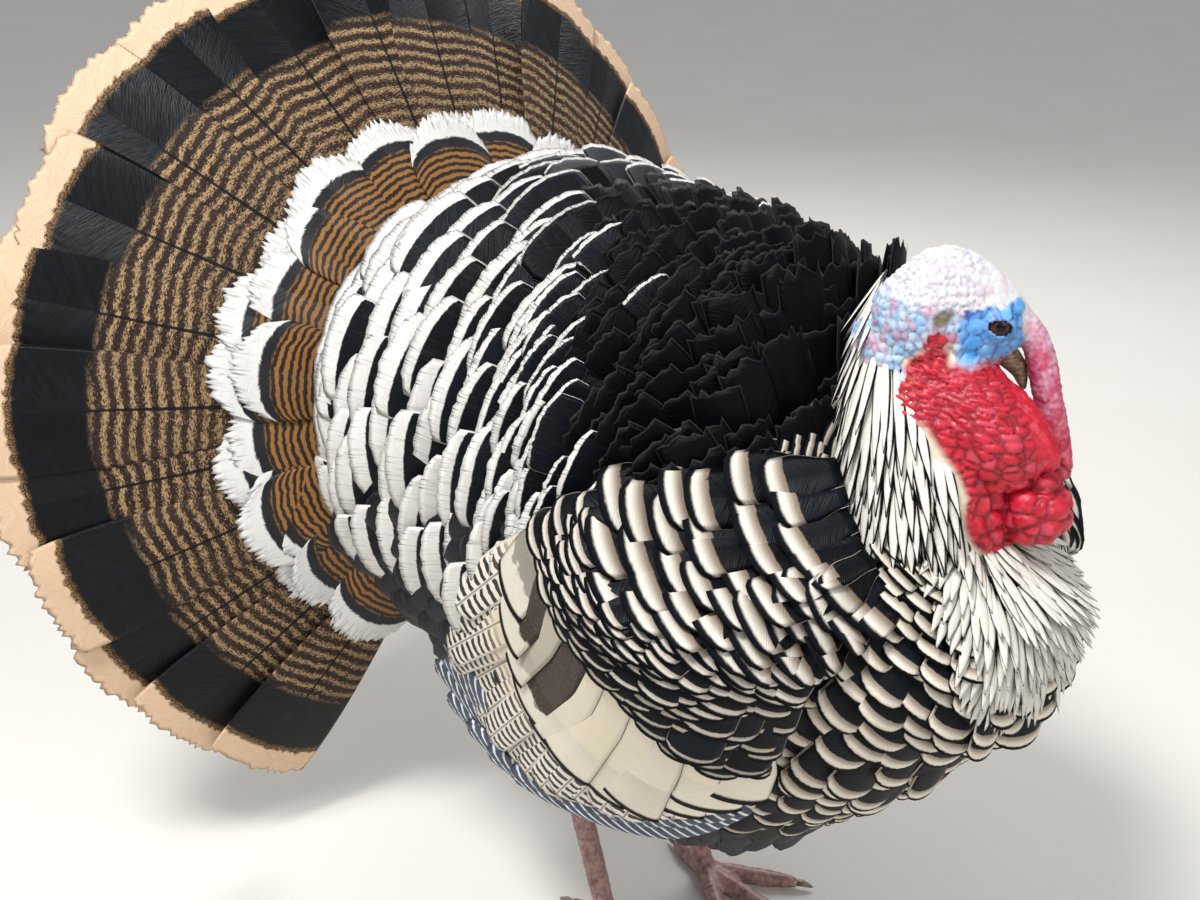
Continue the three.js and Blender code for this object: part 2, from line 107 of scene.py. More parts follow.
@dataclass(frozen=True)
class Profile:
    """A smooth curve of size against place, through (place, size) stations."""

    stations: tuple[tuple[float, float], ...]

    def __call__(self, x: Array) -> Array:
        """Args: x: places. Returns: the cubic Hermite curve's sizes, its slopes those of the neighbours' chords."""
        s = np.asarray(self.stations, float)
        px, py = s[:, 0], s[:, 1]
        lo = np.maximum(np.arange(len(px)) - 1, 0)
        hi = np.minimum(np.arange(len(px)) + 1, len(px) - 1)
        slope = (py[hi] - py[lo]) / (px[hi] - px[lo])
        x = np.asarray(x, float)
        i = np.clip(np.searchsorted(px, x, side="right") - 1, 0, len(px) - 2)
        step = px[i + 1] - px[i]
        t = np.clip((x - px[i]) / step, 0.0, 1.0)
        rise = (3.0 - 2.0 * t) * t * t
        out = t * (1.0 - t) ** 2 * slope[i] * step
        into = t * t * (1.0 - t) * slope[i + 1] * step
        return py[i] + (py[i + 1] - py[i]) * rise + out - into


def curve_through(points: Sequence[Sequence[float]], samples: int = 240) -> Array:
    """Args: points: places the curve passes; samples: how many to give. Returns: a Catmull-Rom curve, evenly spaced."""
    p = np.asarray(points, float)
    ends = np.vstack([2 * p[0] - p[1], p, 2 * p[-1] - p[-2]])
    u = np.linspace(0.0, len(p) - 1.0, samples)
    i = np.minimum(u.astype(int), len(p) - 2)
    t = (u - i)[:, None]
    a, b, c, d = ends[i], ends[i + 1], ends[i + 2], ends[i + 3]
    line = b + 0.5 * t * (c - a + t * (2 * a - 5 * b + 4 * c - d + t * (3 * (b - c) + d - a)))
    gone = np.concatenate([[0.0], np.cumsum(np.linalg.norm(np.diff(line, axis=0), axis=1))])
    even = np.linspace(0.0, gone[-1], samples)
    return np.stack([np.interp(even, gone, line[:, k]) for k in range(3)], axis=1)


def along_curve(curve: Array, t: Array) -> Array:
    """Args: curve: even samples; t: places from 0 to 1. Returns: the points there."""
    x = np.linspace(0.0, 1.0, len(curve))
    return np.stack([np.interp(t, x, curve[:, k]) for k in range(3)], axis=-1)


def distance_to(curve: Array, p: Array) -> tuple[Array, Array]:
    """Args: curve: samples; p: points. Returns: each point's distance from the curve, and the place 0 to 1 nearest."""
    thin = curve[:: max(1, len(curve) // 40)]
    gap = np.linalg.norm(p[:, None, :] - thin[None, :, :], axis=2)
    near = gap.argmin(axis=1)
    return gap[np.arange(len(p)), near], near / (len(thin) - 1.0)


def cells(p: Array, size: Array | float, seed: int) -> tuple[Array, Array, Array]:
    """Worley cells: one jittered seed in each cube of the lattice.

    Args: p: points; size: the cell's edge; seed: picks the jitter.
    Returns: how far the point is from its cell's border (0 on it), a random number for the cell, and its seed's place.
    """
    edge = np.asarray(size, float).reshape(-1, 1)
    q = p / edge
    base = np.floor(q)
    first = np.full(len(q), 9.0)
    second = np.full(len(q), 9.0)
    who = np.zeros(len(q))
    at = np.zeros_like(q)
    for dx in (-1, 0, 1):
        for dy in (-1, 0, 1):
            for dz in (-1, 0, 1):
                cell = base + (dx, dy, dz)
                mix = cell @ np.array([127.1, 311.7, 74.7]) + seed * 13.7
                jit = np.stack([np.sin(mix + k * 1.9) * 43758.5453 % 1.0 for k in range(3)], axis=1)
                place = cell + 0.15 + 0.7 * jit
                gap = np.linalg.norm(place - q, axis=1)
                closer = gap < first
                second = np.where(closer, first, np.minimum(second, gap))
                who = np.where(closer, jit[:, 0], who)
                at = np.where(closer[:, None], place, at)
                first = np.where(closer, gap, first)
    return second - first, who, at * edge


def turned(v: Array, out: Array) -> Array:
    """Args: v: vectors; out: roughly where they should look. Returns: them, reversed where they look away."""
    return np.where((v * out).sum(1, keepdims=True) < 0, -v, v)


def squared(v: Array, way: Array) -> Array:
    """Args: v: vectors; way: directions of any length. Returns: v made square to way, of length one."""
    return unit(v - way * ((v * way).sum(1) / (way * way).sum(1))[:, None])


def pairs(u: Array | float, v: Array | float) -> Array:
    """Args: u, v: places on the uv map, at least one of them a row. Returns: the pairs."""
    return np.stack(np.broadcast_arrays(u, v), axis=1)


# ---------------------------------------------------------------- meshes


@dataclass
class Sheet:
    """A mesh's arrays in the bird's frame: corners, four-sided faces, one value per corner for each name, and uv."""

    verts: Array
    faces: Array
    values: dict[str, Array] = field(default_factory=dict)
    uv: Array | None = None

    @staticmethod
    def joined(parts: Sequence["Sheet"]) -> "Sheet":
        """Args: parts: meshes with the same value names. Returns: them all in one."""
        at = np.cumsum([0] + [len(p.verts) for p in parts[:-1]])
        return Sheet(
            np.concatenate([p.verts for p in parts]),
            np.concatenate([p.faces + a for p, a in zip(parts, at)]),
            {k: np.concatenate([p.values[k] for p in parts]) for k in parts[0].values},
            None if parts[0].uv is None else np.concatenate([p.uv for p in parts]),
        )


def root_place() -> Array:
    """Returns: where the tail's root lies in the part's frame, in mm, from the two eyes' places."""
    eyes = np.mean([np.mean(np.array(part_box(f"eye_{s}")), axis=0) for s in ("left", "right")], axis=0) / MM
    lean = np.array([math.cos(HEAD_YAW) * EYE_AT[0], math.sin(HEAD_YAW) * EYE_AT[0], EYE_AT[2]])
    return eyes - HEAD_AT - lean


ROOT = root_place()


def add_object(name: str, data: bpy.types.ID) -> bpy.types.Object:
    """Args: name: the object's; data: its mesh, lamp or camera. Returns: the object, in the scene."""
    made = bpy.data.objects.new(name, data)
    bpy.context.scene.collection.objects.link(made)
    return made


def read(items: bpy.types.bpy_prop_collection, key: str, width: int = 1, kind: type = np.float32) -> Array:
    """Args: items: a mesh's corners, faces or loops; key: what; width: numbers in each; kind: theirs. Returns: rows."""
    out = np.empty(len(items) * width, kind)
    items.foreach_get(key, out)
    return out.reshape(-1, width) if width > 1 else out


def set_places(mesh: bpy.types.Mesh, verts: Array) -> None:
    """Args: mesh: to change; verts: its corners in the bird's frame. Puts them in the part's frame."""
    mesh.vertices.foreach_set("co", ((verts + ROOT) * MM).astype(np.float32).ravel())


def set_values(mesh: bpy.types.Mesh, values: dict[str, Array]) -> None:
    """Args: mesh: to change; values: one number per corner for each name. Stores them as attributes."""
    for key, value in values.items():
        mesh.attributes.new(key, "FLOAT", "POINT").data.foreach_set("value", value.astype(np.float32))


def set_uv(mesh: bpy.types.Mesh, uv: Array) -> None:
    """Args: mesh: to change; uv: one place for each face corner. Stores the map."""
    mesh.uv_layers.new(name="OFBake").data.foreach_set("uv", uv.astype(np.float32).ravel())


def triangles(mesh: bpy.types.Mesh) -> int:
    """Args: mesh: any. Returns: how many triangles it makes."""
    return int(read(mesh.polygons, "loop_total", 1, np.int32).sum()) - 2 * len(mesh.polygons)


def build_mesh(name: str, sheet: Sheet, material: bpy.types.Material) -> bpy.types.Object:
    """Makes a Blender object of a sheet.

    Args: name: the piece; sheet: its arrays; material: its finish.
    Returns: the object, at the origin, riding on the part's one body.
    """
    mesh = bpy.data.meshes.new(name)
    count = len(sheet.faces)
    mesh.vertices.add(len(sheet.verts))
    set_places(mesh, sheet.verts)
    corner = sheet.faces.shape[1]
    mesh.loops.add(count * corner)
    mesh.loops.foreach_set("vertex_index", sheet.faces.astype(np.int32).ravel())
    mesh.polygons.add(count)
    mesh.polygons.foreach_set("loop_start", np.arange(0, count * corner, corner, dtype=np.int32))
    mesh.update(calc_edges=True)
    mesh.validate(verbose=False)
    mesh.polygons.foreach_set("use_smooth", np.full(len(mesh.polygons), True))
    set_values(mesh, sheet.values)
    if sheet.uv is not None:
        set_uv(mesh, sheet.uv[read(mesh.loops, "vertex_index", 1, np.int32)])
    mesh.materials.append(material)
    piece = add_object(name, mesh)
    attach(piece, "root")
    return piece


def wall_faces(rings: int, sides: int) -> Array:
    """Args: rings, sides: corners along and round. Returns: the faces of a tube that is open at both ends."""
    r = np.arange(rings - 1)[:, None] * sides
    s = np.arange(sides)[None, :]
    n = (s + 1) % sides
    return np.stack([r + sides + s, r + sides + n, r + n, r + s], axis=-1).reshape(-1, 4)


def tube_faces(rings: int, sides: int) -> Array:
    """Args: rings, sides: corners along and round, the second even. Returns: the faces of a tube closed by strips."""
    k = np.arange(sides // 2 - 1)
    ends = []
    for ring, order in ((0, 1), (rings - 1, -1)):
        loop = (ring * sides + np.arange(sides))[::order]
        ends.append(np.stack([loop[k], loop[k + 1], loop[sides - 2 - k], loop[sides - 1 - k]], axis=1))
    return np.concatenate([wall_faces(rings, sides), *ends])


# ---------------------------------------------------------------- surfaces of the bird


@dataclass(frozen=True)
class Limb:
    """A rounded body along a curve, with half sizes across and through it as functions of the place along."""

    through: tuple[tuple[float, float, float], ...]
    across: Profile
    thick: Profile
    up: tuple[float, float, float] = (0.0, 0.0, 1.0)
    blunt: float = 0.5

    def curve(self) -> Array:
        """Returns: the middle line's samples."""
        return curve_through(self.through)

    def surface(self, t: Array, turn: Array) -> Array:
        """Points of the skin: centre + cos(turn) across + sin(turn) through, both times round^blunt.

        Args: t: places along, 0 to 1; turn: angles round.
        Returns: points.
        """
        line = self.curve()
        middle = along_curve(line, t)
        tangent = unit(along_curve(line, np.clip(t + 0.02, 0, 1)) - along_curve(line, np.clip(t - 0.02, 0, 1)))
        side = unit(np.cross(tangent, np.asarray(self.up, float)))
        rise = unit(np.cross(side, tangent))
        form = np.sqrt(np.maximum(1.0 - (2.0 * t - 1.0) ** 2, 0.0)) ** self.blunt
        a = (self.across(t) * form * np.cos(turn))[..., None]
        b = (self.thick(t) * form * np.sin(turn))[..., None]
        return middle + side * a + rise * b

    def solid(self, sides: int, rings: int) -> Sheet:
        """Args: sides, rings: how fine. Returns: the closed skin."""
        t = (1.0 - np.cos(np.linspace(0.0, math.pi, rings))) / 2.0
        t[0], t[-1] = 1e-4, 1.0 - 1e-4
        turn = np.linspace(0.0, 2.0 * math.pi, sides, endpoint=False)
        tt, rr = np.meshgrid(t, turn, indexing="ij")
        return Sheet(self.surface(tt.ravel(), rr.ravel()), tube_faces(rings, sides))


TRUNK_REAR, TRUNK_FRONT, TRUNK_BLUNT = -96.0, 468.0, 0.6


def stationed(*stations: tuple[float, float]) -> Profile:
    """Args: stations: (place, half size) on the trunk. Returns: the curve that gives them once its ends are round."""
    fixed = []
    for x, size in stations:
        t = (x - TRUNK_REAR) / (TRUNK_FRONT - TRUNK_REAR)
        fixed.append((x, size / (2.0 * math.sqrt(t * (1.0 - t))) ** TRUNK_BLUNT))
    return Profile(tuple(fixed))


@dataclass(frozen=True)
class Trunk:
    """The trunk's outline to the tips of its feathers, and the same drawn in by the coat's depth."""

    middle: Profile = Profile(((-96, -4), (0, -7), (130, -22), (260, -30), (380, -34), (468, -26)))
    rise: Profile = stationed(
        (-60, 150), (0, 198), (60, 208), (130, 214), (230, 210), (292, 200), (322, 150), (356, 104), (410, 80),
        (440, 56),
    )
    drop: Profile = stationed(
        (-60, 120), (0, 168), (60, 194), (130, 214), (225, 237), (310, 200), (380, 134), (420, 94), (446, 60)
    )
    width: Profile = stationed(
        (-60, 156), (0, 190), (60, 184), (130, 178), (230, 172), (310, 156), (360, 134), (410, 100), (440, 70)
    )
    square: float = 0.93
    centre: tuple[float, float, float] = (200.0, 0.0, -15.0)
    breast: tuple[float, float, float] = (1.0, 0.0, 0.34)

    def at(self, x: Array, turn: Array, inset: float = 0.0) -> Array:
        """Args: x: places along; turn: angles from the left side up and over; inset: depth inward. Returns: points."""
        t = np.clip((x - TRUNK_REAR) / (TRUNK_FRONT - TRUNK_REAR), 1e-6, 1 - 1e-6)
        even = 2.0 * np.sqrt(t * (1.0 - t))
        form = even ** TRUNK_BLUNT
        c, s = np.cos(turn), np.sin(turn)
        half = np.where(s > 0, self.rise(x), self.drop(x)) * form - inset * even
        wide = self.width(x) * form - inset * even
        y = np.sign(c) * np.abs(c) ** self.square * wide
        z = self.middle(x) + np.sign(s) * np.abs(s) ** self.square * half
        return np.stack([x - (2 * t - 1) * inset, y, z], axis=-1)

    def outside(self, p: Array) -> Array:
        """Args: p: points. Returns: over 1 outside the trunk, under 1 inside it."""
        x = np.clip(p[..., 0], TRUNK_REAR + 1e-3, TRUNK_FRONT - 1e-3)
        t = (x - TRUNK_REAR) / (TRUNK_FRONT - TRUNK_REAR)
        form = (2.0 * np.sqrt(t * (1.0 - t))) ** TRUNK_BLUNT
        z = p[..., 2] - self.middle(x)
        half = np.where(z > 0, self.rise(x), self.drop(x)) * form
        e = 2.0 / self.square
        inside = (np.abs(p[..., 1]) / (self.width(x) * form)) ** e + (np.abs(z) / half) ** e
        past = np.maximum(TRUNK_REAR - p[..., 0], p[..., 0] - TRUNK_FRONT)
        return np.where(past > 0, 1.0 + past, inside)

    def cast(self, heading: Array) -> Array:
        """Args: heading: unit directions. Returns: where each ray from the centre leaves the trunk."""
        origin = np.asarray(self.centre)
        low, high = np.zeros(len(heading)), np.full(len(heading), 620.0)
        for _ in range(26):
            mid = (low + high) / 2.0
            out = self.outside(origin + heading * mid[:, None]) > 1.0
            high, low = np.where(out, mid, high), np.where(out, low, mid)
        return origin + heading * low[:, None]

    def ring_point(self, polar: Array, round_: Array) -> tuple[Array, Array, Array]:
        """Points in rings about the line from the trunk's centre to the neck's base.

        Args: polar: angle from that line; round_: angle about it, 0 at the top.
        Returns: points, outward normals, and the tangent directions away from the neck.
        """
        axis = unit(np.asarray(self.breast))
        over = unit(np.array([-axis[2], 0.0, axis[0]]))
        left = np.array([0.0, 1.0, 0.0])

        def ray(a: Array, b: Array) -> Array:
            e = over * np.cos(b)[:, None] - left * np.sin(b)[:, None]
            return axis * np.cos(a)[:, None] + e * np.sin(a)[:, None]

        p = self.cast(ray(polar, round_))
        step = 0.03
        da = self.cast(ray(polar + step, round_)) - self.cast(ray(polar - step, round_))
        turn_way = -over * np.sin(round_)[:, None] - left * np.cos(round_)[:, None]
        here = ray(polar, round_)
        db = self.cast(unit(here + turn_way * step)) - self.cast(unit(here - turn_way * step))
        return p, turned(unit(np.cross(db, da)), p - np.asarray(self.centre)), unit(da)


TRUNK = Trunk()

NECK = Limb(
    ((352, 0, -22), (376, -2, 28), (380, -8, 84), (366, -20, 134)),
    Profile(((0, 108), (0.3, 94), (0.6, 64), (0.85, 44), (1, 31))),
    Profile(((0, 84), (0.3, 74), (0.6, 56), (0.85, 42), (1, 31))),
    (-1.0, 0.0, 0.0),
    0.35,
)
HEAD = Limb(
    ((-46, 0, 6), (-26, 0, 3), (0, 0, 1), (24, 0, -1), (44, 0, -4)),
    Profile(((0, 25), (0.35, 27), (0.7, 24), (1, 15))),
    Profile(((0, 28), (0.3, 40), (0.62, 37), (0.85, 27), (1, 18))),
    blunt=0.75,
)
UPPER_BILL = Limb(
    ((18, 0, -12), (29, 0, -19), (38, 0, -29), (42, 0, -41)),
    Profile(((0, 11), (0.4, 9), (0.8, 5), (1, 2.5))),
    Profile(((0, 8), (0.4, 6.5), (0.8, 4), (1, 2.5))),
    (1.0, 0.0, 1.0),
)
LOWER_BILL = Limb(
    ((6, 0, -20), (18, 0, -28), (28, 0, -36), (33, 0, -43)),
    Profile(((0, 10), (0.4, 8), (0.8, 4.5), (1, 2.5))),
    Profile(((0, 5), (0.4, 4), (0.8, 2.8), (1, 2))),
    (1.0, 0.0, 1.0),
)
SNOOD = Limb(
    ((35, -2, 6), (43, -3, -5), (50, -3, -22), (55, -3, -40), (61, -3, -58), (67, -3, -76), (72, -3, -92)),
    Profile(((0, 8), (0.25, 9), (0.6, 8.2), (0.9, 7.2), (1, 6))),
    Profile(((0, 8), (0.25, 9), (0.6, 8.2), (0.9, 7.2), (1, 6))),
    (1.0, 0.0, 0.0),
    0.4,
)
BEADS = Limb(
    ((375, -16, 138), (391, -7, 118), (402, -4, 103), (418, 3, 87), (430, 7, 68)),
    Profile(((0, 26), (0.25, 25), (0.5, 29), (0.8, 31), (1, 28))),
    Profile(((0, 26), (0.25, 25), (0.5, 28), (0.8, 29), (1, 26))),
    (1.0, 0.0, 0.3),
)
LOBES = Limb(
    ((427, -2, 55), (434, 13, 54), (439, 30, 57)),
    Profile(((0, 19), (0.5, 22), (1, 19))),
    Profile(((0, 18), (0.5, 21), (1, 18))),
)
MANE = Limb(
    ((350, -6, 178), (356, -10, 140), (366, -10, 100), (374, -6, 52), (366, 0, -6)),
    Profile(((0, 18), (0.25, 30), (0.5, 43), (0.75, 59), (1, 80))),
    Profile(((0, 15), (0.25, 28), (0.5, 40), (0.75, 52), (1, 62))),
    (-1.0, 0.0, 0.0),
    0.25,
)
DEWLAP = Limb(
    ((20, -18, -35), (32, -27, -45), (43, -36, -59), (52, -40, -73)),
    Profile(((0, 10), (0.5, 12), (1, 9))),
    Profile(((0, 9), (0.5, 10.5), (1, 8))),
    (1.0, 0.0, 0.5),
)


def from_head(p: Array) -> Array:
    """Args: p: points in the head's frame. Returns: them in the bird's."""
    c, s = math.cos(HEAD_YAW), math.sin(HEAD_YAW)
    return np.stack([p[:, 0] * c - p[:, 1] * s, p[:, 0] * s + p[:, 1] * c, p[:, 2]], axis=1) + HEAD_AT


def to_head(p: Array) -> Array:
    """Args: p: points in the bird's frame. Returns: them in the head's."""
    q = p - HEAD_AT
    c, s = math.cos(HEAD_YAW), math.sin(HEAD_YAW)
    return np.stack([q[:, 0] * c + q[:, 1] * s, -q[:, 0] * s + q[:, 1] * c, q[:, 2]], axis=1)


@dataclass(frozen=True)
class Fan:
    """The cone of the spread tail: its axis leans up, its feathers sweep back from square to it."""

    lean: float = math.radians(8.5)
    sweep: float = math.radians(-23.6)
    first: float = math.radians(-78.0)
    last: float = math.radians(151.0)

    def axes(self, turn: Array) -> tuple[Array, Array, Array]:
        """Args: turn: angles from upright to the bird's right. Returns: along the feather, across it, and its front."""
        axis = np.array([math.cos(self.lean), 0.0, math.sin(self.lean)])
        up = np.array([-math.sin(self.lean), 0.0, math.cos(self.lean)])
        right = np.array([0.0, -1.0, 0.0])
        out = up * np.cos(turn)[:, None] + right * np.sin(turn)[:, None]
        way = out * math.cos(self.sweep) + axis * math.sin(self.sweep)
        front = axis * math.cos(self.sweep) - out * math.sin(self.sweep)
        return way, np.cross(way, front), front


FAN = Fan()


# ---------------------------------------------------------------- feathers


class Tip(Enum):
    """How a vane ends."""

    ROUND = 0.85
    BLUNT = 0.5
    RUMP = 0.36
    SQUARE = 0.28
    LANCE = 1.9


@dataclass(frozen=True)
class Vane:
    """One kind of feather: how fine its mesh is and the shape of its web."""

    across: int = 7
    along: int = 8
    tip: Tip = Tip.ROUND
    waist: float = 0.45
    widest: float = 0.62
    camber: float = 0.22
    thick: float = 0.7
    fringe: float = 0.0
    taper: float = 0.92

    def half_width(self, v: Array) -> Array:
        """Args: v: places from quill 0 to tip 1. Returns: half width as a share of the greatest."""
        rise = self.waist + (1.0 - self.waist) * smooth(0.0, self.widest, v)
        return rise * (1.0 - (1.0 - self.taper) * smooth(self.widest, 1.0, v))

    def template(self) -> tuple[Array, Array, Array]:
        """Returns: u and v of the grid's corners, and the faces of the thin lens between its two skins."""
        nu, nv = self.across, self.along
        u, v = np.meshgrid(np.linspace(-1, 1, nu), np.linspace(0, 1, nv) ** 0.9)
        top = np.arange(nu * nv).reshape(nv, nu)
        under = top.copy()
        under[1:-1, 1:-1] = nu * nv + np.arange((nu - 2) * (nv - 2)).reshape(nv - 2, nu - 2)
        quads = []
        for grid, order in ((top, 1), (under, -1)):
            q = np.stack([grid[:-1, :-1], grid[:-1, 1:], grid[1:, 1:], grid[1:, :-1]], axis=-1).reshape(-1, 4)
            quads.append(q[:, ::order])
        return u, v, np.concatenate(quads)


@dataclass
class Flock:
    """Where a tract's feathers grow and how each lies, one row each; a plain number holds for all of them."""

    root: Array
    way: Array
    normal: Array
    length: Array | float
    width: Array | float
    lift: Array | float
    chart: Array
    curl: Array | float = 0.0
    twist: Array | float = 0.0
    tone: Array | float = 0.0
    kind: Array | float = 0.0
    bow: Array | float = 0.0

    @staticmethod
    def merged(parts: Sequence["Flock"]) -> "Flock":
        """Args: parts: rows whose fields are of one kind. Returns: them all as one tract."""
        first = parts[0].__dict__
        return Flock(**{k: np.concatenate([getattr(f, k) for f in parts]) if isinstance(v, np.ndarray) else v
                        for k, v in first.items()})

    def only(self, keep: Array) -> "Flock":
        """Args: keep: which feathers. Returns: those alone."""
        return Flock(**{k: v[keep] if isinstance(v, np.ndarray) else v for k, v in self.__dict__.items()})

    def grow(self, vane: Vane, rng: np.random.Generator, patch: float = 0.003, ruffle: float = 0.06) -> Sheet:
        """Grows every feather at once.

        A corner lies at root + way * along + normal * height + side * across, where along falls short towards the
        web's edge by the tip's roundness, and height is the lift plus a curl in v^2 less a camber in u^2.

        Args: vane: the kind; rng: random numbers; patch: size of each feather's place on the uv map; ruffle: disorder.
        Returns: the closed vanes.
        """
        count = len(self.root)
        nu, nv = vane.across, vane.along
        u, v, faces = vane.template()
        chance = rng.random(count)
        jitter = rng.normal(0.0, ruffle, (count, 3))
        length = (self.length * (1.0 + jitter[:, 0]))[:, None, None]
        width = (np.broadcast_to(self.width, (count,)) * (1.0 + 0.5 * jitter[:, 1]))[:, None, None]
        lift = (self.lift + jitter[:, 2] * 0.8)[:, None, None]
        curl = np.broadcast_to(self.curl, (count,))[:, None, None]
        twist = (np.broadcast_to(self.twist, (count,)) + rng.normal(0.0, ruffle, count))[:, None, None]
        normal = unit(self.normal)
        way = unit(self.way - normal * (self.way * normal).sum(1, keepdims=True))
        side = np.cross(way, normal)
        way = unit(way + side * rng.normal(0.0, ruffle, (count, 1)))
        side = np.cross(way, normal)
        half = width * vane.half_width(v)[None]
        if vane.tip is Tip.LANCE:
            half = half * (1.0 - 0.6 * smooth(0.72, 1.0, v)[None] ** 1.3)
        short = width * vane.tip.value * (1.0 - np.sqrt(1.0 - 0.97 * u[None] ** 2)) * v[None] ** 2
        along = length * v[None] - short
        if vane.fringe > 0:
            comb = rng.random((count, nu))[:, None, :] * vane.fringe
            along = along - length * comb * smooth(0.86, 1.0, v)[None] * (np.abs(u[None]) < 0.99)
        height = along * np.sin(lift) + curl * length * v[None] ** 2
        height = height - vane.camber * half * u[None] ** 2 + twist * half * u[None]
        reach = along * np.cos(lift)
        bow = np.broadcast_to(self.bow, (count,))[:, None, None]
        sideways = half * u[None] + 4.0 * bow * length * v[None] * (1.0 - v[None])
        top = (
            self.root[:, None, None, :]
            + way[:, None, None, :] * reach[..., None]
            + normal[:, None, None, :] * height[..., None]
            + side[:, None, None, :] * sideways[..., None]
        )
        depth = (vane.thick * np.sqrt(1.0 - u**2) * (1.0 - v**6) * (0.35 + 0.65 * (1 - v)))[None, :, :, None]
        body = top + normal[:, None, None, :] * depth
        under = (top - normal[:, None, None, :] * depth)[:, 1:-1, 1:-1]
        verts = np.concatenate([body.reshape(count, -1, 3), under.reshape(count, -1, 3)], axis=1)

        def both(a: Array) -> Array:
            full = np.broadcast_to(a, (count, nv, nu))
            return np.concatenate([full.reshape(count, -1), full[:, 1:-1, 1:-1].reshape(count, -1)], axis=1).ravel()

        per = verts.shape[1]
        values = {
            "tip": both(length * (1.0 - v[None])),
            "edge": both(half * (1.0 - np.abs(u[None]))),
            "lat": both(half * u[None]),
            "chance": np.repeat(chance, per),
            "tone": np.repeat(np.broadcast_to(self.tone, (count,)), per),
            "kind": np.repeat(np.broadcast_to(self.kind, (count,)), per),
        }
        spot = np.stack([both(u[None] * 0.5), both(v[None] - 0.5)], axis=1) * patch
        uv = np.repeat(self.chart, per, axis=0) + spot
        every = (faces[None] + (np.arange(count) * per)[:, None, None]).reshape(-1, 4)
        return Sheet(verts.reshape(-1, 3), every, values, uv)


# ---------------------------------------------------------------- node trees


def linear(code: str) -> tuple[float, float, float]:
    """Args: code: a colour such as "#aabbcc". Returns: it in linear light."""
    parts = [int(code[i : i + 2], 16) / 255.0 for i in (1, 3, 5)]
    return tuple(c / 12.92 if c <= 0.04045 else ((c + 0.055) / 1.055) ** 2.4 for c in parts)


@dataclass
class Graph:
    """Short hands for wiring one node tree."""

    tree: bpy.types.NodeTree

    def add(self, kind: str, **props: object) -> bpy.types.Node:
        """Args: kind: the node's type; props: its settings. Returns: the new node."""
        node = self.tree.nodes.new(kind)
        for key, value in props.items():
            setattr(node, key, value)
        return node

    def put(self, socket: bpy.types.NodeSocket, value: object) -> None:
        """Args: socket: an input; value: an output to link, a colour's code or a plain value to set."""
        if isinstance(value, bpy.types.NodeSocket):
            self.tree.links.new(value, socket)
        else:
            socket.default_value = (*linear(value), 1.0) if isinstance(value, str) else value

    def fill(self, node: bpy.types.Node, **inputs: object) -> bpy.types.NodeOutputs:
        """Args: node: to fill; inputs: what goes in each, by name with _ for a space. Returns: the node's outputs."""
        for key, value in inputs.items():
            self.put(node.inputs[key.replace("_", " ")], value)
        return node.outputs

    def group(self, tree: bpy.types.NodeTree, **inputs: object) -> bpy.types.NodeOutputs:
        """Args: tree: a node group; inputs: what goes in. Returns: its outputs."""
        return self.fill(self.add("ShaderNodeGroup", node_tree=tree), **inputs)

    def math(self, op: str, *numbers: object) -> bpy.types.NodeSocket:
        """Args: op: the operation; numbers: what it works on. Returns: the result."""
        node = self.add("ShaderNodeMath", operation=op)
        for socket, value in zip(node.inputs, numbers):
            self.put(socket, value)
        return node.outputs[0]

    mul = partialmethod(math, "MULTIPLY")
    mad = partialmethod(math, "MULTIPLY_ADD")
    sub = partialmethod(math, "SUBTRACT")
    inv = partialmethod(math, "SUBTRACT", 1.0)
    sum = partialmethod(math, "ADD")
    div = partialmethod(math, "DIVIDE")
    sin = partialmethod(math, "SINE")
    abs = partialmethod(math, "ABSOLUTE")

    def step(self, x: object, low: object, high: object) -> bpy.types.NodeSocket:
        """Args: x: a number; low, high: where the smooth step starts and ends. Returns: 0 to 1."""
        node = self.add("ShaderNodeMapRange", interpolation_type="SMOOTHSTEP")
        return self.fill(node, Value=x, From_Min=low, From_Max=high)[0]

    def mix(self, factor: object, a: object, b: object) -> bpy.types.NodeSocket:
        """Args: factor: share of b; a, b: colours. Returns: the mixed colour."""
        node = self.add("ShaderNodeMix", data_type="RGBA")
        for index, value in ((0, factor), (6, a), (7, b)):
            self.put(node.inputs[index], value)
        return node.outputs[2]

    def wash(self, colour: object, mask: object, share: float, over: object) -> bpy.types.NodeSocket:
        """Args: colour: the ground; mask: where; share: how much; over: what goes on. Returns: the colour."""
        return self.mix(self.mul(mask, share), colour, over)

    def value(self, name: str) -> bpy.types.NodeSocket:
        """Args: name: a mesh attribute. Returns: its number."""
        return self.add("ShaderNodeAttribute", attribute_name=name).outputs["Fac"]

    def place(self) -> bpy.types.NodeSocket:
        """Returns: the point in the object's own frame, in metres."""
        return self.add("ShaderNodeTexCoord").outputs["Object"]

    def spread(self, x: object, x_scale: float, y: object, y_scale: float, z: object) -> bpy.types.NodeSocket:
        """Args: x, y, z: numbers; x_scale, y_scale: what two of them are multiplied by. Returns: the vector."""
        return self.fill(self.add("ShaderNodeCombineXYZ"), X=self.mul(x, x_scale), Y=self.mul(y, y_scale), Z=z)[0]

    def noise(self, at: object, scale: float = 1.0, detail: float = 2.0, rough: float = 0.5) -> bpy.types.NodeSocket:
        """Args: at: where; scale, detail, rough: its grain. Returns: noise about 0.5."""
        return self.fill(self.add("ShaderNodeTexNoise"), Vector=at, Scale=scale, Detail=detail, Roughness=rough)[0]

    def bump(self, shader: bpy.types.Node, height: object, strength: float, depth: float) -> None:
        """Args: shader: Principled; height: 0..1; strength, depth: of the relief, the depth in metres."""
        node = self.add("ShaderNodeBump")
        self.put(shader.inputs["Normal"], self.fill(node, Height=height, Strength=strength, Distance=depth)[0])


FLOAT, COLOUR = "NodeSocketFloat", "NodeSocketColor"


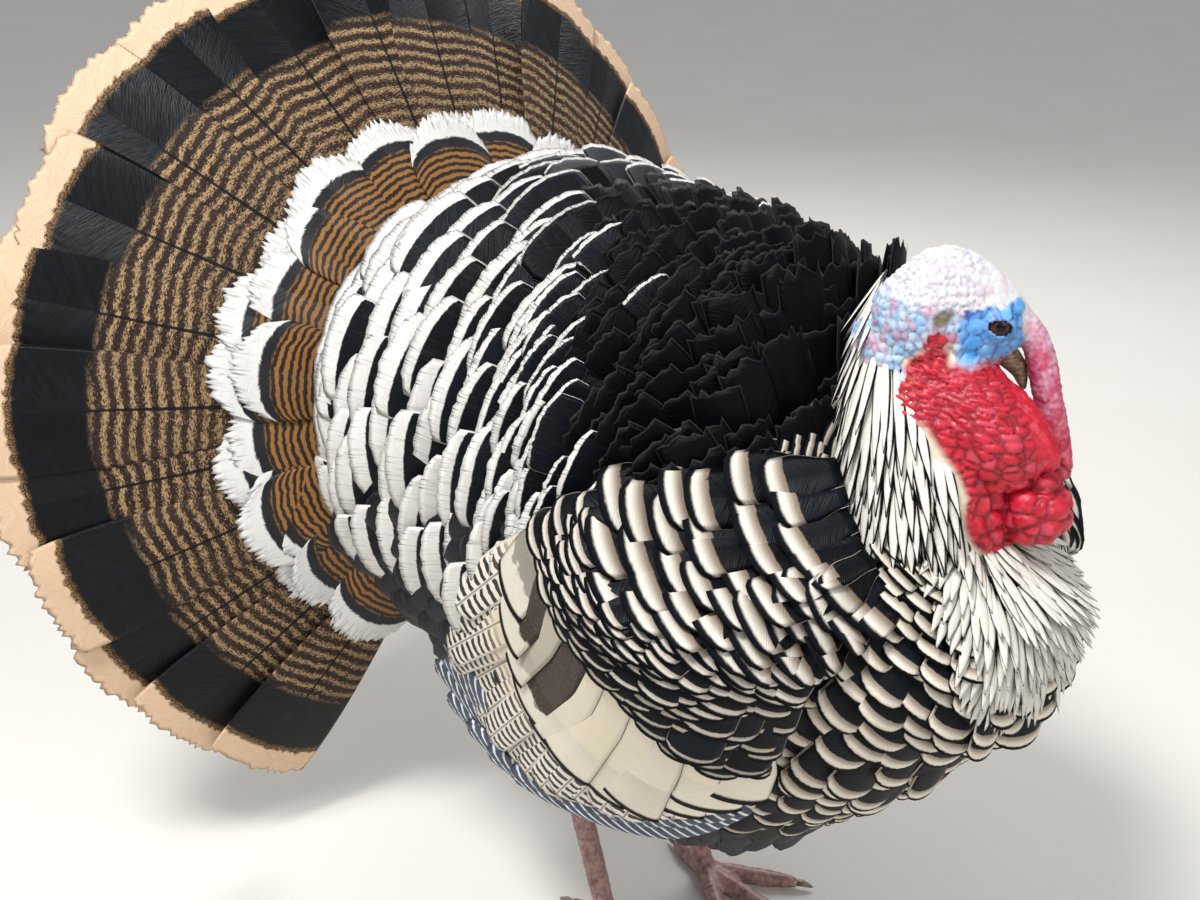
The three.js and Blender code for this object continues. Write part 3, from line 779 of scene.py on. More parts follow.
def new_group(name: str, inputs: dict[str, str], outputs: dict[str, str]) -> tuple[Graph, dict, bpy.types.Node]:
    """Args: name: the group; inputs, outputs: socket types by name. Returns: its graph, inputs and output node."""
    tree = bpy.data.node_groups.new(name, "ShaderNodeTree")
    for way, sockets in (("INPUT", inputs), ("OUTPUT", outputs)):
        for label, kind in sockets.items():
            tree.interface.new_socket(label, in_out=way, socket_type=kind)
    graph = Graph(tree)
    source = graph.add("NodeGroupInput")
    return graph, {s.name: s for s in source.outputs if s.name}, graph.add("NodeGroupOutput")


def barbs_group() -> bpy.types.NodeTree:
    """The grain of a web: streaks that run from the rachis outward and forward.

    Returns: a group that gives a streak (0..1), painted shade in the gaps at the ends of barbs, a height for the bump
    and the rachis.
    """
    g, _, out = new_group("Barbs", {}, {"Streak": FLOAT, "Gap": FLOAT, "Height": FLOAT, "Rachis": FLOAT})
    tip, lat = g.value("tip"), g.value("lat")
    out_way = g.abs(lat)
    seed = g.mul(g.value("chance"), 57.0)
    barb = g.mad(out_way, 0.75, tip)
    fine = g.noise(g.spread(barb, 0.9, lat, 0.05, seed), 1.0, 2.0, 0.6)
    coarse = g.noise(g.spread(barb, 0.22, lat, 0.04, seed))
    # Gaps where the barbs part: they get grey painted shade, not a colour of the barbs.
    comb = g.noise(g.spread(lat, 0.85, tip, 0.05, seed), 1.0, 1.0)
    wave = g.sin(g.mul(barb, 5.2))
    g.fill(out, Streak=g.mad(coarse, 0.5, g.mul(fine, 0.5)), Gap=g.step(comb, 0.56, 0.66),
           Height=g.mad(wave, 0.12, fine), Rachis=g.inv(g.step(out_way, 0.35, 1.0)))
    return g.tree


def band_group() -> bpy.types.NodeTree:
    """A web with a pale band along its tip, a dark edge outside it and a dark base inside.

    Returns: a group whose band runs along the outline, its inner side ragged with the barbs.
    """
    inputs = dict.fromkeys(("Base", "Band", "Rim"), COLOUR)
    inputs |= dict.fromkeys(("Rim Width", "Band Width", "Side Share", "Soft", "Shade"), FLOAT)
    g, i, out = new_group("Banded Web", inputs, {"Colour": COLOUR, "Height": FLOAT, "Pale": FLOAT})
    web = g.group(BARBS)
    near = g.math("MINIMUM", g.value("tip"), g.div(g.value("edge"), i["Side Share"]))
    ragged = g.mad(g.sub(web["Streak"], 0.5), i["Soft"], near)
    width = g.sum(i["Rim Width"], i["Band Width"])
    inside = g.step(ragged, width, g.mad(i["Soft"], 0.45, width))
    rim = g.step(ragged, g.mul(i["Rim Width"], 0.75), g.mul(i["Rim Width"], 1.3))
    brown = g.mul(g.step(g.div(near, width), 0.4, 1.0), i["Shade"])
    pale = g.wash(g.mix(brown, i["Band"], "#7d6a58"), web["Streak"], 0.22, "#8a8078")
    body = g.mix(inside, pale, i["Base"])
    edge_on = g.mul(g.inv(rim), g.math("GREATER_THAN", i["Rim Width"], 0.01))
    g.fill(out, Colour=g.mix(edge_on, body, i["Rim"]), Height=web["Height"], Pale=g.inv(inside))
    return g.tree


def barred_group() -> bpy.types.NodeTree:
    """Wavy cross bars and stipple of a tail feather's web, meeting in a V at the rachis.

    Returns: a group that gives the barred colour and a height for the bump.
    """
    inputs = dict.fromkeys(("Ground", "Bar"), COLOUR)
    inputs |= dict.fromkeys(("Pitch", "Slope", "Stipple", "Level", "Wander"), FLOAT)
    g, i, out = new_group("Barred Web", inputs, {"Colour": COLOUR, "Height": FLOAT})
    web = g.group(BARBS)
    tip, lat = g.value("tip"), g.value("lat")
    seed = g.mul(g.value("chance"), 91.0)
    wander = g.noise(g.spread(lat, 0.07, tip, 0.03, seed), 1.0, 3.0, 0.65)
    bend = g.mad(g.abs(lat), i["Slope"], tip)
    bend = g.mad(g.sub(wander, 0.5), g.mul(i["Pitch"], i["Wander"]), bend)
    wave = g.sin(g.mul(g.div(bend, i["Pitch"]), 2.0 * math.pi))
    speck = g.noise(g.spread(lat, 0.42, tip, 0.95, seed), 1.0, 3.0, 0.85)
    lift = g.mul(g.sub(speck, 0.5), i["Stipple"])
    pale = g.step(g.sum(g.sum(wave, i["Level"]), lift), 0.2, 0.7)
    colour = g.wash(g.mix(pale, i["Ground"], i["Bar"]), web["Streak"], 0.3, i["Ground"])
    g.fill(out, Colour=colour, Height=web["Height"])
    return g.tree


BARBS = barbs_group()
BANDED = band_group()
BARRED = barred_group()


def new_material(name: str) -> tuple[bpy.types.Material, Graph, bpy.types.Node]:
    """Args: name: the material. Returns: it, its graph and its Principled node."""
    material = bpy.data.materials.new(name)
    material.use_nodes = True
    return material, Graph(material.node_tree), material.node_tree.nodes["Principled BSDF"]


@dataclass(frozen=True)
class BandFinish:
    """A feather with a pale band near its tip. Widths in mm; tone on the mesh widens or narrows the band."""

    name: str
    base: str = "#050608"
    band: str = "#e6ddce"
    rim: str = "#070a12"
    rim_width: float = 0.0
    band_width: float = 9.0
    tone_width: float = 0.0
    side_share: float = 0.5
    soft: float = 4.0
    shade: float = 0.0
    rough: float = 0.5
    gloss: float = 0.16
    # Share of painted shade put into the gaps between barb ends.
    gap_shade: float = 0.0
    # A colour each feather drifts toward at random: a painted blue sheen on the black feathers, a real change of tone
    # on the pale and brown ones.
    tone_and_painted_sheen: str = "#0f1522"
    tone_rim: float = 0.0
    patch: float = 0.0

    def build(self) -> bpy.types.Material:
        """Returns: the material."""
        material, g, shader = new_material(self.name)
        tip, lat, tone, chance = g.value("tip"), g.value("lat"), g.value("tone"), g.value("chance")
        # The base drifts at random toward the painted sheen or tone colour.
        web = g.group(
            BANDED, Base=g.wash(self.base, chance, 0.5, self.tone_and_painted_sheen), Band=self.band, Rim=self.rim,
            Rim_Width=g.mad(tone, self.tone_rim, self.rim_width),
            Band_Width=g.mad(tone, self.tone_width, self.band_width),
            Side_Share=self.side_share, Soft=self.soft, Shade=self.shade,
        )
        colour = web["Colour"]
        # Painted shade in the gaps between barb ends, strongest at the tip.
        if self.gap_shade > 0:
            fade = g.inv(g.mul(g.step(tip, 0.0, 7.0), 0.75))
            colour = g.wash(colour, g.mul(g.group(BARBS)["Gap"], fade), self.gap_shade, "#3a3836")
        if self.patch > 0:
            where = g.spread(lat, 0.5, tip, 0.5, chance)
            specks = g.mix(g.step(g.noise(where, 1.0, 3.0, 0.8), 0.5, 0.66), "#1d1310", "#5b4032")
            wander = g.mad(g.noise(where, 0.25, 1.0), 26.0, tip)
            inner = g.mul(g.step(wander, 38.0, 42.0), g.value("kind"))
            colour = g.wash(colour, inner, self.patch, specks)
        tint = g.mad(g.sub(chance, 0.5), 0.16, 1.0)
        hue = g.fill(g.add("ShaderNodeHueSaturation"), Value=tint, Color=colour)[0]
        rough = g.mad(web["Pale"], 0.75 - self.rough, self.rough)
        g.fill(shader, Base_Color=hue, Roughness=rough, Specular_IOR_Level=self.gloss)
        g.bump(shader, web["Height"], 0.5, 0.0012)
        return material


@dataclass(frozen=True)
class RectrixFinish:
    """A tail feather from its tip: pale band, speckled line, black band, then barred web, and a dark rachis."""

    name: str = "Tail Feather"
    pale: float = 24.0
    black: float = 80.0
    ground: str = "#2c211e"
    bar: str = "#b8976c"
    pitch: float = 10.0
    slope: float = 0.16

    def build(self) -> bpy.types.Material:
        """Returns: the material."""
        material, g, shader = new_material(self.name)
        tip, lat, streak = g.value("tip"), g.value("lat"), g.group(BARBS)["Streak"]
        out = g.abs(lat)
        bars = g.group(BARRED, Ground=self.ground, Bar=self.bar, Pitch=self.pitch, Slope=self.slope,
                       Stipple=g.mad(g.step(tip, 100.0, 200.0), 9.0, 10.0), Level=-0.15, Wander=0.75)
        ragged = g.mad(g.sub(streak, 0.5), 9.0, tip)
        web = g.mix(g.step(tip, 105.0, 230.0), bars["Colour"], g.mix(0.3, bars["Colour"], self.ground))
        web = g.wash(web, g.step(out, 6.0, 44.0), 0.15, "#5c4a42")
        # Black band: the barb streaks are drawn in a bluish black, a painted blue sheen over the barbs' real grain.
        black = g.mix(g.step(streak, 0.42, 0.8), "#040508", "#10161f")
        inside = g.step(ragged, self.black - 4.0, self.black + 7.0)
        colour = g.mix(inside, black, web)
        speck = g.noise(g.spread(lat, 0.8, tip, 0.7, 3.0), 1.0, 2.0, 0.8)
        brown = g.mix(g.step(speck, 0.42, 0.6), "#1c1410", "#97754f")
        colour = g.mix(g.inv(g.step(ragged, self.pale + 1.0, self.pale + 6.0)), colour, brown)
        cream = g.wash("#f0d3b4", streak, 0.6, "#b98d68")
        colour = g.mix(g.inv(g.step(ragged, self.pale - 3.0, self.pale)), colour, cream)
        shaft = g.math("LESS_THAN", out, g.mad(g.step(tip, 60.0, 340.0), 1.6, 0.9))
        colour = g.wash(colour, g.mul(shaft, g.step(tip, self.pale, self.pale + 20.0)), 0.95, "#0c0d14")
        dark = g.mul(g.step(ragged, self.pale, self.pale + 2.0), g.inv(inside))
        g.fill(shader, Base_Color=colour, Roughness=g.mad(dark, -0.3, 0.72), Specular_IOR_Level=0.2)
        g.bump(shader, bars["Height"], 0.45, 0.0014)
        return material


@dataclass(frozen=True)
class CovertFinish:
    """A tail covert: broad white fringe, black bar, chestnut web with fine dark bars."""

    name: str = "Tail Covert"
    white: float = 23.0
    black: float = 30.0

    def build(self) -> bpy.types.Material:
        """Returns: the material."""
        material, g, shader = new_material(self.name)
        bars = g.group(BARRED, Ground="#1d110b", Bar="#a5702f", Pitch=5.8, Slope=0.0, Stipple=2.4, Level=0.45,
                       Wander=1.5)
        barbs, tip = g.group(BARBS), g.value("tip")
        streak = barbs["Streak"]
        ragged = g.mad(g.sub(streak, 0.5), 7.0, tip)
        # Black bar: the barb streaks are drawn in a bluish black, a painted blue sheen over the barbs' real grain.
        black = g.mix(streak, "#040507", "#0d1119")
        colour = g.mix(g.step(ragged, self.black, self.black + 3.0), black, bars["Colour"])
        fringe = g.inv(g.step(ragged, self.white - 1.5, self.white + 0.5))
        colour = g.mix(fringe, colour, g.wash("#f3f2ee", streak, 0.35, "#9b9793"))
        # Painted shade in the gaps between the white fringe's barbs, strongest at the tip.
        thin = g.inv(g.step(tip, 1.0, self.white))
        colour = g.wash(colour, g.mul(barbs["Gap"], thin), 0.6, "#57504b")
        g.fill(shader, Base_Color=colour, Roughness=g.mad(fringe, 0.2, 0.55))
        g.bump(shader, bars["Height"], 0.5, 0.0012)
        return material


@dataclass(frozen=True)
class FlightFinish:
    """A wing quill: cream with rows of small dark checks, or slate with slanting pale bars where tone is 1."""

    name: str
    check_pitch: float = 10.5
    bar_pitch: float = 9.5

    def build(self) -> bpy.types.Material:
        """Returns: the material."""
        material, g, shader = new_material(self.name)
        barbs, tip, lat = g.group(BARBS), g.value("tip"), g.value("lat")
        streak, out = barbs["Streak"], g.abs(lat)
        wander = g.noise(g.spread(lat, 0.14, tip, 0.06, g.mul(g.value("chance"), 31.0)))
        place = g.mad(wander, 6.0, g.mad(out, 0.4, tip))
        wave = g.sin(g.mul(place, 2.0 * math.pi / self.check_pitch))
        inside = g.mul(g.step(out, 0.8, 1.8), g.step(g.value("edge"), 0.8, 2.4))
        ink = g.mix(g.step(tip, 56.0, 96.0), "#101116", "#7d6046")
        check = g.mix(g.mul(g.step(wave, -0.1, 0.3), inside), "#ece4d6", ink)
        plain = g.wash("#e6dac4", streak, 0.3, "#b39e80")
        checked = g.mix(g.step(tip, 76.0, 104.0), check, plain)
        slant = g.sin(g.mul(g.mad(lat, 0.9, tip), 2.0 * math.pi / self.bar_pitch))
        slate = g.mix(g.step(slant, 0.5, 0.85), g.mix(streak, "#2a3244", "#4a566c"), "#e4e7ec")
        colour = g.wash(g.mix(g.value("tone"), checked, slate), barbs["Rachis"], 0.7, "#5a4a3c")
        g.fill(shader, Base_Color=colour, Roughness=g.mad(streak, 0.2, 0.45))
        g.bump(shader, barbs["Height"], 0.45, 0.0012)
        return material


@dataclass(frozen=True)
class Zone:
    """One colour of the bare skin: two shades by blotches, spots on some cells, and the painted shade in its creases.
    """

    key: str
    blotch: tuple[float, float, float]
    shades: tuple[str, str]
    crease: tuple[float, str]
    spots: tuple[float, float, float, str] | None = None


# The crease colours are painted shade in the grooves between beads and folds.
ZONES = (
    Zone("is_pebble", (0.35, 0.65, 1.0), ("#cbd8e2", "#8dbce6"), (0.6, "#6c5a86"), (0.6, 0.8, 0.55, "#cf7f90")),
    Zone("is_white", (0.5, 0.75, 0.6), ("#e6e5e6", "#b3c8e0"), (0.8, "#95869f"), (0.72, 0.95, 0.35, "#d9a0ac")),
    Zone("is_red", (0.35, 0.7, 1.0), ("#b80b22", "#d8203f"), (0.8, "#5e0513"), (0.6, 0.95, 0.35, "#e2627c")),
    Zone("is_pink", (0.4, 0.65, 1.0), ("#cf4f74", "#dfa9bd"), (0.6, "#8c2a4d")),
    Zone("is_blue", (0.35, 0.7, 1.0), ("#3f95dc", "#86c0ec"), (0.95, "#3a2c8a")),
    Zone("is_leg", (0.4, 0.7, 1.0), ("#b78f86", "#8f6a66"), (0.7, "#4c3531")),
)


@dataclass(frozen=True)
class SkinFinish:
    """The bare head and neck, the leg scales and the hidden skin, from values on the mesh."""

    name: str = "Bare Skin"

    def build(self) -> bpy.types.Material:
        """Returns: the material."""
        material, g, shader = new_material(self.name)
        grain, blotch = g.noise(g.place(), 900.0, 3.0, 0.6), g.noise(g.place(), 95.0, 3.0, 0.6)
        crease, cell = g.value("crease"), g.value("cell")
        colour = g.mix(blotch, "#e9e3cf", "#cdc3a6")
        for zone in ZONES:
            low, high, share = zone.blotch
            shade = g.wash(zone.shades[0], g.step(blotch, low, high), share, zone.shades[1])
            if zone.spots:
                low, high, share, spot = zone.spots
                shade = g.wash(shade, g.step(cell, low, high), share, spot)
            # The crease colour is painted shade, laid on where the crease value is high.
            colour = g.mix(g.value(zone.key), colour, g.wash(shade, crease, *zone.crease))
        colour = g.mix(g.value("is_ear"), colour, g.mix(grain, "#8d8272", "#4d4136"))
        colour = g.mix(g.value("is_lid"), colour, "#1d2450")
        colour = g.mix(g.value("is_hidden"), colour, "#17151a")
        g.fill(shader, Base_Color=colour, Roughness=g.mad(grain, 0.25, 0.3), Subsurface_Weight=0.12,
               Subsurface_Radius=(0.004, 0.0015, 0.001), Specular_IOR_Level=0.5)
        g.bump(shader, grain, 0.35, 0.0006)
        return material


@dataclass(frozen=True)
class HornFinish:
    """Bill, claws and spurs: growth lines and grey blotches on a warm grey-brown horn."""

    name: str
    light: str = "#a7936f"
    dark: str = "#4b3b2b"

    def build(self) -> bpy.types.Material:
        """Returns: the material."""
        material, g, shader = new_material(self.name)
        stretched = g.fill(g.add("ShaderNodeMapping"), Vector=g.place(), Scale=(160.0, 160.0, 620.0))[0]
        lines = g.noise(stretched, 1.0, 3.0, 0.6)
        colour = g.mix(g.step(lines, 0.35, 0.7), self.light, self.dark)
        colour = g.wash(colour, g.noise(g.place(), 240.0), 0.4, "#6d675e")
        g.fill(shader, Base_Color=colour, Roughness=g.mad(lines, 0.25, 0.28))
        g.bump(shader, lines, 0.3, 0.0005)
        return material


@dataclass(frozen=True)
class EyeFinish:
    """A wet eye: black pupil in a dark brown iris with a darker rim."""

    name: str = "Wet Eye"

    def build(self) -> bpy.types.Material:
        """Returns: the material."""
        material, g, shader = new_material(self.name)
        ring = g.value("ring")
        iris = g.mix(g.noise(g.place(), 1500.0), "#2c150b", "#57301b")
        colour = g.mix(g.step(ring, 2.6, 3.1), "#020202", iris)
        colour = g.mix(g.step(ring, 5.2, 6.2), colour, "#150f10")
        g.fill(shader, Base_Color=colour, Roughness=0.08, Specular_IOR_Level=0.3)
        return material


# ---------------------------------------------------------------- skin

Part = tuple[Array, dict[str, Array], bpy.types.Mesh]


@dataclass
class Skin:
    """One flesh body under the coat: trunk, neck, head, caruncles, snood, thighs, shanks and feet in one mesh."""

    coat_depth: float = 22.0
    head_grain: float = 1.35
    most_faces: int = 190000
    leg_grain: float = 2.3
    hock_height: float = 140.0
    stance: float = 52.0

    def legs(self) -> list[Limb]:
        """Returns: thighs, shanks, knuckles and toes of both legs."""
        parts: list[Limb] = []
        for side in (-1.0, 1.0):
            ankle = np.array([STANCE_AT, side * self.stance, 5.6 + FLOOR])
            hock = np.array([STANCE_AT - 44.0, side * (self.stance + 4.0), self.hock_height + FLOOR])
            thigh = tuple((STANCE_AT + dx, side * y, z)
                          for dx, y, z in ((27, 66, -110), (3, 64, -172), (-23, 60, -222), (-44, 56, -252)))
            parts.append(Limb(thigh, Profile(((0, 36), (0.4, 24), (0.75, 13), (1, 10))),
                              Profile(((0, 46), (0.4, 30), (0.75, 15), (1, 10))), (1, 0, 0)))
            shank = tuple(tuple(hock + (ankle - hock) * s) for s in (0.0, 0.5, 1.0))
            parts.append(Limb(shank, Profile(((0, 10), (0.2, 8.5), (0.8, 8.5), (1, 10))),
                              Profile(((0, 11), (0.2, 9), (0.8, 8.5), (1, 10))), (1, 0, 0), 0.35))
            knuckle = tuple(tuple(ankle + (d, 0, 3)) for d in (-10, -1, 8))
            parts.append(Limb(knuckle, Profile(((0, 8), (0.5, 10.5), (1, 8))), Profile(((0, 7), (0.5, 8.5), (1, 7)))))
            for heading, reach in ((-32, 78), (2, 98), (36, 76), (172, 40)):
                a = math.radians(heading)
                toe = tuple((ankle[0] + math.cos(a) * reach * s, ankle[1] + side * math.sin(a) * reach * s, ankle[2])
                            for s in (0.0, 0.35, 0.7, 1.0))
                pads = tuple((s, 8.2 - 2.2 * s + 0.9 * math.cos(s * 6 * math.pi)) for s in np.linspace(0, 1, 13))
                depth = Profile(((0, 8.6), (0.3, 7.2), (0.6, 6.6), (1, 5.6)))
                parts.append(Limb(toe, Profile(pads), depth, blunt=0.35))
        return parts

    def flesh(self) -> list[Limb]:
        """Returns: the bodies of the neck and throat."""
        slim = Limb(NECK.through, Profile(((0, 70), (0.3, 62), (0.6, 48), (0.85, 36), (1, 29))),
                    Profile(((0, 60), (0.3, 54), (0.6, 44), (0.85, 36), (1, 29))), NECK.up, NECK.blunt)
        round_ = Profile(((0, 26), (1, 30)))
        nape = Limb(((350, -14, 158), (356, -14, 136), (368, -10, 112)), round_, round_)
        return [slim, nape, BEADS, LOBES]

    @staticmethod
    def remeshed(sheets: Sequence[Sheet], voxel: float) -> bpy.types.Mesh:
        """Args: sheets: closed bodies that overlap; voxel: grain in mm. Returns: their union as one even mesh."""
        both = Sheet.joined(sheets)
        mesh = bpy.data.meshes.new("flesh")
        mesh.from_pydata((both.verts * MM).tolist(), [], both.faces.tolist())
        piece = add_object("flesh", mesh)
        remesh = piece.modifiers.new("even", "REMESH")
        remesh.mode = "VOXEL"
        remesh.voxel_size = voxel * MM
        relax = piece.modifiers.new("relax", "SMOOTH")
        relax.factor, relax.iterations = 0.5, 4
        graph = bpy.context.evaluated_depsgraph_get()
        result = bpy.data.meshes.new_from_object(piece.evaluated_get(graph))
        bpy.data.objects.remove(piece)
        bpy.data.meshes.remove(mesh)
        return result

    @staticmethod
    def arrays(mesh: bpy.types.Mesh) -> tuple[Array, Array]:
        """Args: mesh: in metres. Returns: its corners in mm and their normals."""
        return read(mesh.vertices, "co", 3).astype(float) / MM, read(mesh.vertices, "normal", 3).astype(float)

    def zones(self, p: Array) -> dict[str, Array]:
        """Where each colour and relief of the bare skin lies, as weights from 0 to 1.

        Args: p: points in the bird's frame.
        Returns: weights by name, each a product of smooth steps in the head's frame.
        """
        h = to_head(p)
        x = h[:, 0] + 1.6 * np.sin(0.3 * h[:, 2] + 1.0) + 0.4 * np.sin(1.05 * h[:, 2])
        y = np.abs(h[:, 1])
        z = h[:, 2] + 1.0 * np.sin(0.35 * h[:, 0]) + 0.4 * np.sin(1.3 * h[:, 0] + 2.0)
        to_snood, place = distance_to(from_head(SNOOD.curve()), p)
        to_wattle, _ = distance_to(from_head(DEWLAP.curve()), p)
        to_throat, _ = distance_to(BEADS.curve(), p)
        to_lower, _ = distance_to(LOBES.curve(), p)
        on_head = 1.0 - smooth(58.0, 66.0, np.linalg.norm(h * (1.0, 1.0, 0.9), axis=1))
        lower_edge = np.where(x > -6.0, -17.0, np.where(x > -14.0, -17.0 - 2.0 * (x + 6.0), -1.0 + 1.35 * (x + 14.0)))
        above = smooth(-4.0, 4.0, z - lower_edge)
        snood = (1.0 - smooth(11.0, 13.0, to_snood)) * smooth(36.0, 41.0, x)
        face = smooth(-4.0, -1.0, x) * (1.0 - smooth(34.0, 36.5, x)) * above * (1.0 - smooth(12.5, 14.0, z - 0.05 * x))
        face = face * on_head * smooth(4.0, 9.0, y)
        white = on_head * above * smooth(10.0, 17.0, z + 0.18 * x + 3.0)
        white = np.maximum(white, snood * (1.0 - smooth(0.02, 0.3, place)))
        red = np.maximum(1.0 - smooth(33.0, 37.0, to_throat), 1.0 - smooth(26.0, 30.0, to_lower))
        red = np.maximum(red, 1.0 - smooth(13.0, 16.0, to_wattle)) * (1.0 - above * on_head)
        red = np.maximum(np.maximum(red, on_head * (1.0 - above)), snood * smooth(0.3, 0.6, place))
        ear = np.exp(-(((x + 13.0) / 6.5) ** 2 + ((z - 9.0) / 6.0) ** 2)) * smooth(12.0, 18.0, y)
        return {
            "is_white": white, "is_blue": face * (1 - snood), "is_pebble": on_head * above, "is_red": red,
            "is_pink": snood * (1.0 - 0.85 * smooth(0.45, 0.95, place)) * (0.3 + 0.7 * smooth(0.0, 0.3, place)),
            "is_ear": smooth(0.3, 0.75, ear),
            "snood": snood, "lower": 1.0 - smooth(22.0, 27.0, to_lower), "wattle": 1.0 - smooth(12.0, 14.0, to_wattle),
            "groove": bump(to_wattle, 14.5, 1.8) * (1.0 - smooth(22.0, 27.0, to_lower)),
        }

    def eye_frame(self, h: Array, side: float) -> tuple[Array, Array, Array]:
        """Args: h: points in the head's frame; side: 1 left, -1 right. Returns: offsets along, up and outward."""
        q = h - EYE_AT * (1.0, side, 1.0)
        return q[:, 0], q[:, 2] + 0.12 * q[:, 0], q[:, 1] * side

    def carve(self, p: Array, n: Array) -> tuple[Array, dict[str, Array]]:
        """Gives the head and neck their relief.

        Beads are domes over Worley cells, 1 - exp(-5 d) of the distance d to the cell's border; lids wrap the eyeball
        outside an almond opening, and the skin inside it lies behind the eye.

        Args: p: points; n: normals. Returns: the moved points and the values for the finish.
        """
        zone = self.zones(p)
        h = to_head(p)
        d_red, c_red, _ = cells(p * (1.0, 1.0, 1.7), 6.2 + 3.2 * smooth(20.0, -60.0, h[:, 2]), 3)
        d_low, _, _ = cells(p * (1.0, 1.0, 1.25), 14.0, 5)
        d_fine, c_fine, bead = cells(h, 5.0, 11)
        d_face, _, _ = cells(h * (1.0, 0.5, 1.3), 10.5, 17)
        whole = self.zones(from_head(bead))
        loose = 1.0 - zone["snood"]
        for key in ("is_white", "is_pebble", "is_red"):
            by_bead = np.where(zone["is_pebble"] > 0.02, smooth(0.3, 0.7, whole[key]), zone[key])
            zone[key] = zone[key] * (1.0 - loose) + loose * by_bead
        climb = bump(bead[:, 0], -13.0, 7.0) * (1.0 - smooth(-6.0, 6.0, bead[:, 2])) * zone["is_pebble"]
        zone["is_red"] = np.maximum(zone["is_red"], loose * smooth(0.25, 0.45, climb * (0.5 + c_fine)))

        def dome(d: Array, sharp: float = 5.0) -> Array:
            return 1.0 - np.exp(-sharp * d)

        front = smooth(2.0, 20.0, h[:, 0])
        red = zone["is_red"] * (1.0 - zone["is_pebble"]) * (1.0 - zone["lower"]) * (1.0 - 0.8 * zone["wattle"]) * loose
        height = red * 2.6 * dome(d_red) + zone["is_red"] * zone["lower"] * (4.2 * dome(d_low, 3.5) + 0.7 * dome(d_red))
        beads = np.maximum(zone["is_pebble"], zone["is_white"]) * (1.0 - zone["is_blue"]) * loose
        smooth_brow = 0.85 * front * zone["is_white"]
        height += beads * (1.0 - smooth_brow) * 1.9 * dome(d_fine)
        height += zone["is_blue"] * 1.3 * dome(d_face, 8.0)
        height += zone["snood"] * (0.9 * dome(d_fine) + 0.5 * dome(d_red, 3.0))
        height += zone["wattle"] * zone["is_red"] * (1.0 + 0.5 * np.sin(1.9 * h[:, 1] + 0.5 * h[:, 0]))
        height -= 2.4 * zone["groove"] * zone["is_red"]
        # How dark the painted shade is in the grooves between beads, in the face's wrinkles, on the snood and in the
        # wattle's groove.
        crease = np.max([
            beads * (1.0 - smooth_brow) * np.exp(-7.0 * d_fine),
            zone["is_blue"] * np.exp(-16.0 * d_face),
            red * np.exp(-7.0 * d_red),
            zone["is_red"] * zone["lower"] * np.exp(-9.0 * d_low),
            zone["snood"] * 0.6 * np.exp(-6.0 * d_fine),
            0.8 * zone["groove"] * zone["is_red"],
        ], axis=0)
        cell = np.where(red > 0.5, c_red, c_fine)
        p, lid = self.lids(p + n * (height - 1.0)[:, None])
        values = {k: v for k, v in zone.items() if k.startswith("is_")}
        values.update(crease=crease, cell=cell, is_lid=lid, is_leg=np.zeros(len(p)), is_hidden=np.zeros(len(p)))
        return p, values

    def lids(self, p: Array) -> tuple[Array, Array]:
        """Args: p: points of the head. Returns: them with the lids round both eyes, and how dark each lid's edge is."""
        lid = np.zeros(len(p))
        for side in (-1.0, 1.0):
            h = to_head(p)
            along, up, out = self.eye_frame(h, side)
            reach = np.sqrt(along**2 + up**2)
            facing = (out > -2.0) & (reach < 15.0)
            opening = np.sqrt((along / 6.3) ** 2 + (np.abs(up) / np.where(up > 0, 3.5, 4.2)) ** 1.8)
            ball = np.sqrt(np.maximum((EYE_RADIUS + LID) ** 2 - reach**2, 0.0))
            rim = 0.6 * bump(opening, 1.15, 0.18)
            cover = np.maximum(out, np.where(reach < EYE_RADIUS + LID, ball + rim, out))
            brow = 2.2 * bump(reach, 12.0, 3.0) * smooth(1.0, 6.0, up)
            target = np.where(opening > 1.0, cover + brow, np.minimum(out, ball - 6.0))
            blend = facing * (1.0 - smooth(12.0, 15.0, reach))
            moved = h.copy()
            moved[:, 1] += side * (target - out) * blend
            p = np.where(facing[:, None], from_head(moved), p)
            lid = np.maximum(lid, facing * bump(opening, 1.0, 0.11))
        return p, lid

    def head_part(self) -> Part:
        """Returns: head, neck, throat, snood and wattle, with their relief and colours."""
        flesh = [limb.solid(40, 40) for limb in self.flesh()]
        for limb in (HEAD, SNOOD, DEWLAP):
            part = limb.solid(40, 48)
            flesh.append(Sheet(from_head(part.verts), part.faces))
        chin = Limb(((2, 0, -20), (13, 0, -27)), Profile(((0, 11), (1, 7))), Profile(((0, 8), (1, 5)))).solid(24, 16)
        flesh.append(Sheet(from_head(chin.verts), chin.faces))
        head = self.remeshed(flesh, self.head_grain)
        return *self.carve(*self.arrays(head)), head

    def legs_part(self) -> Part:
        """Returns: thighs, shanks and feet, with the scales that show below the coat."""
        legs = self.remeshed([limb.solid(20, 24) for limb in self.legs()], self.leg_grain)
        p, n = self.arrays(legs)
        bare = 1.0 - smooth(150.0, 170.0, p[:, 2] - FLOOR)
        d, c, _ = cells(p * (1.0, 1.0, 1.25), 6.0, 21)
        p = p + n * (0.7 * bare * (1.0 - np.exp(-6.0 * d)))[:, None]
        p[:, 2] = np.maximum(p[:, 2], FLOOR)
        # The crease value is painted shade in the grooves between the leg scales.
        return p, {"is_leg": bare, "crease": np.exp(-9.0 * d), "cell": c, "is_hidden": 1 - bare}, legs

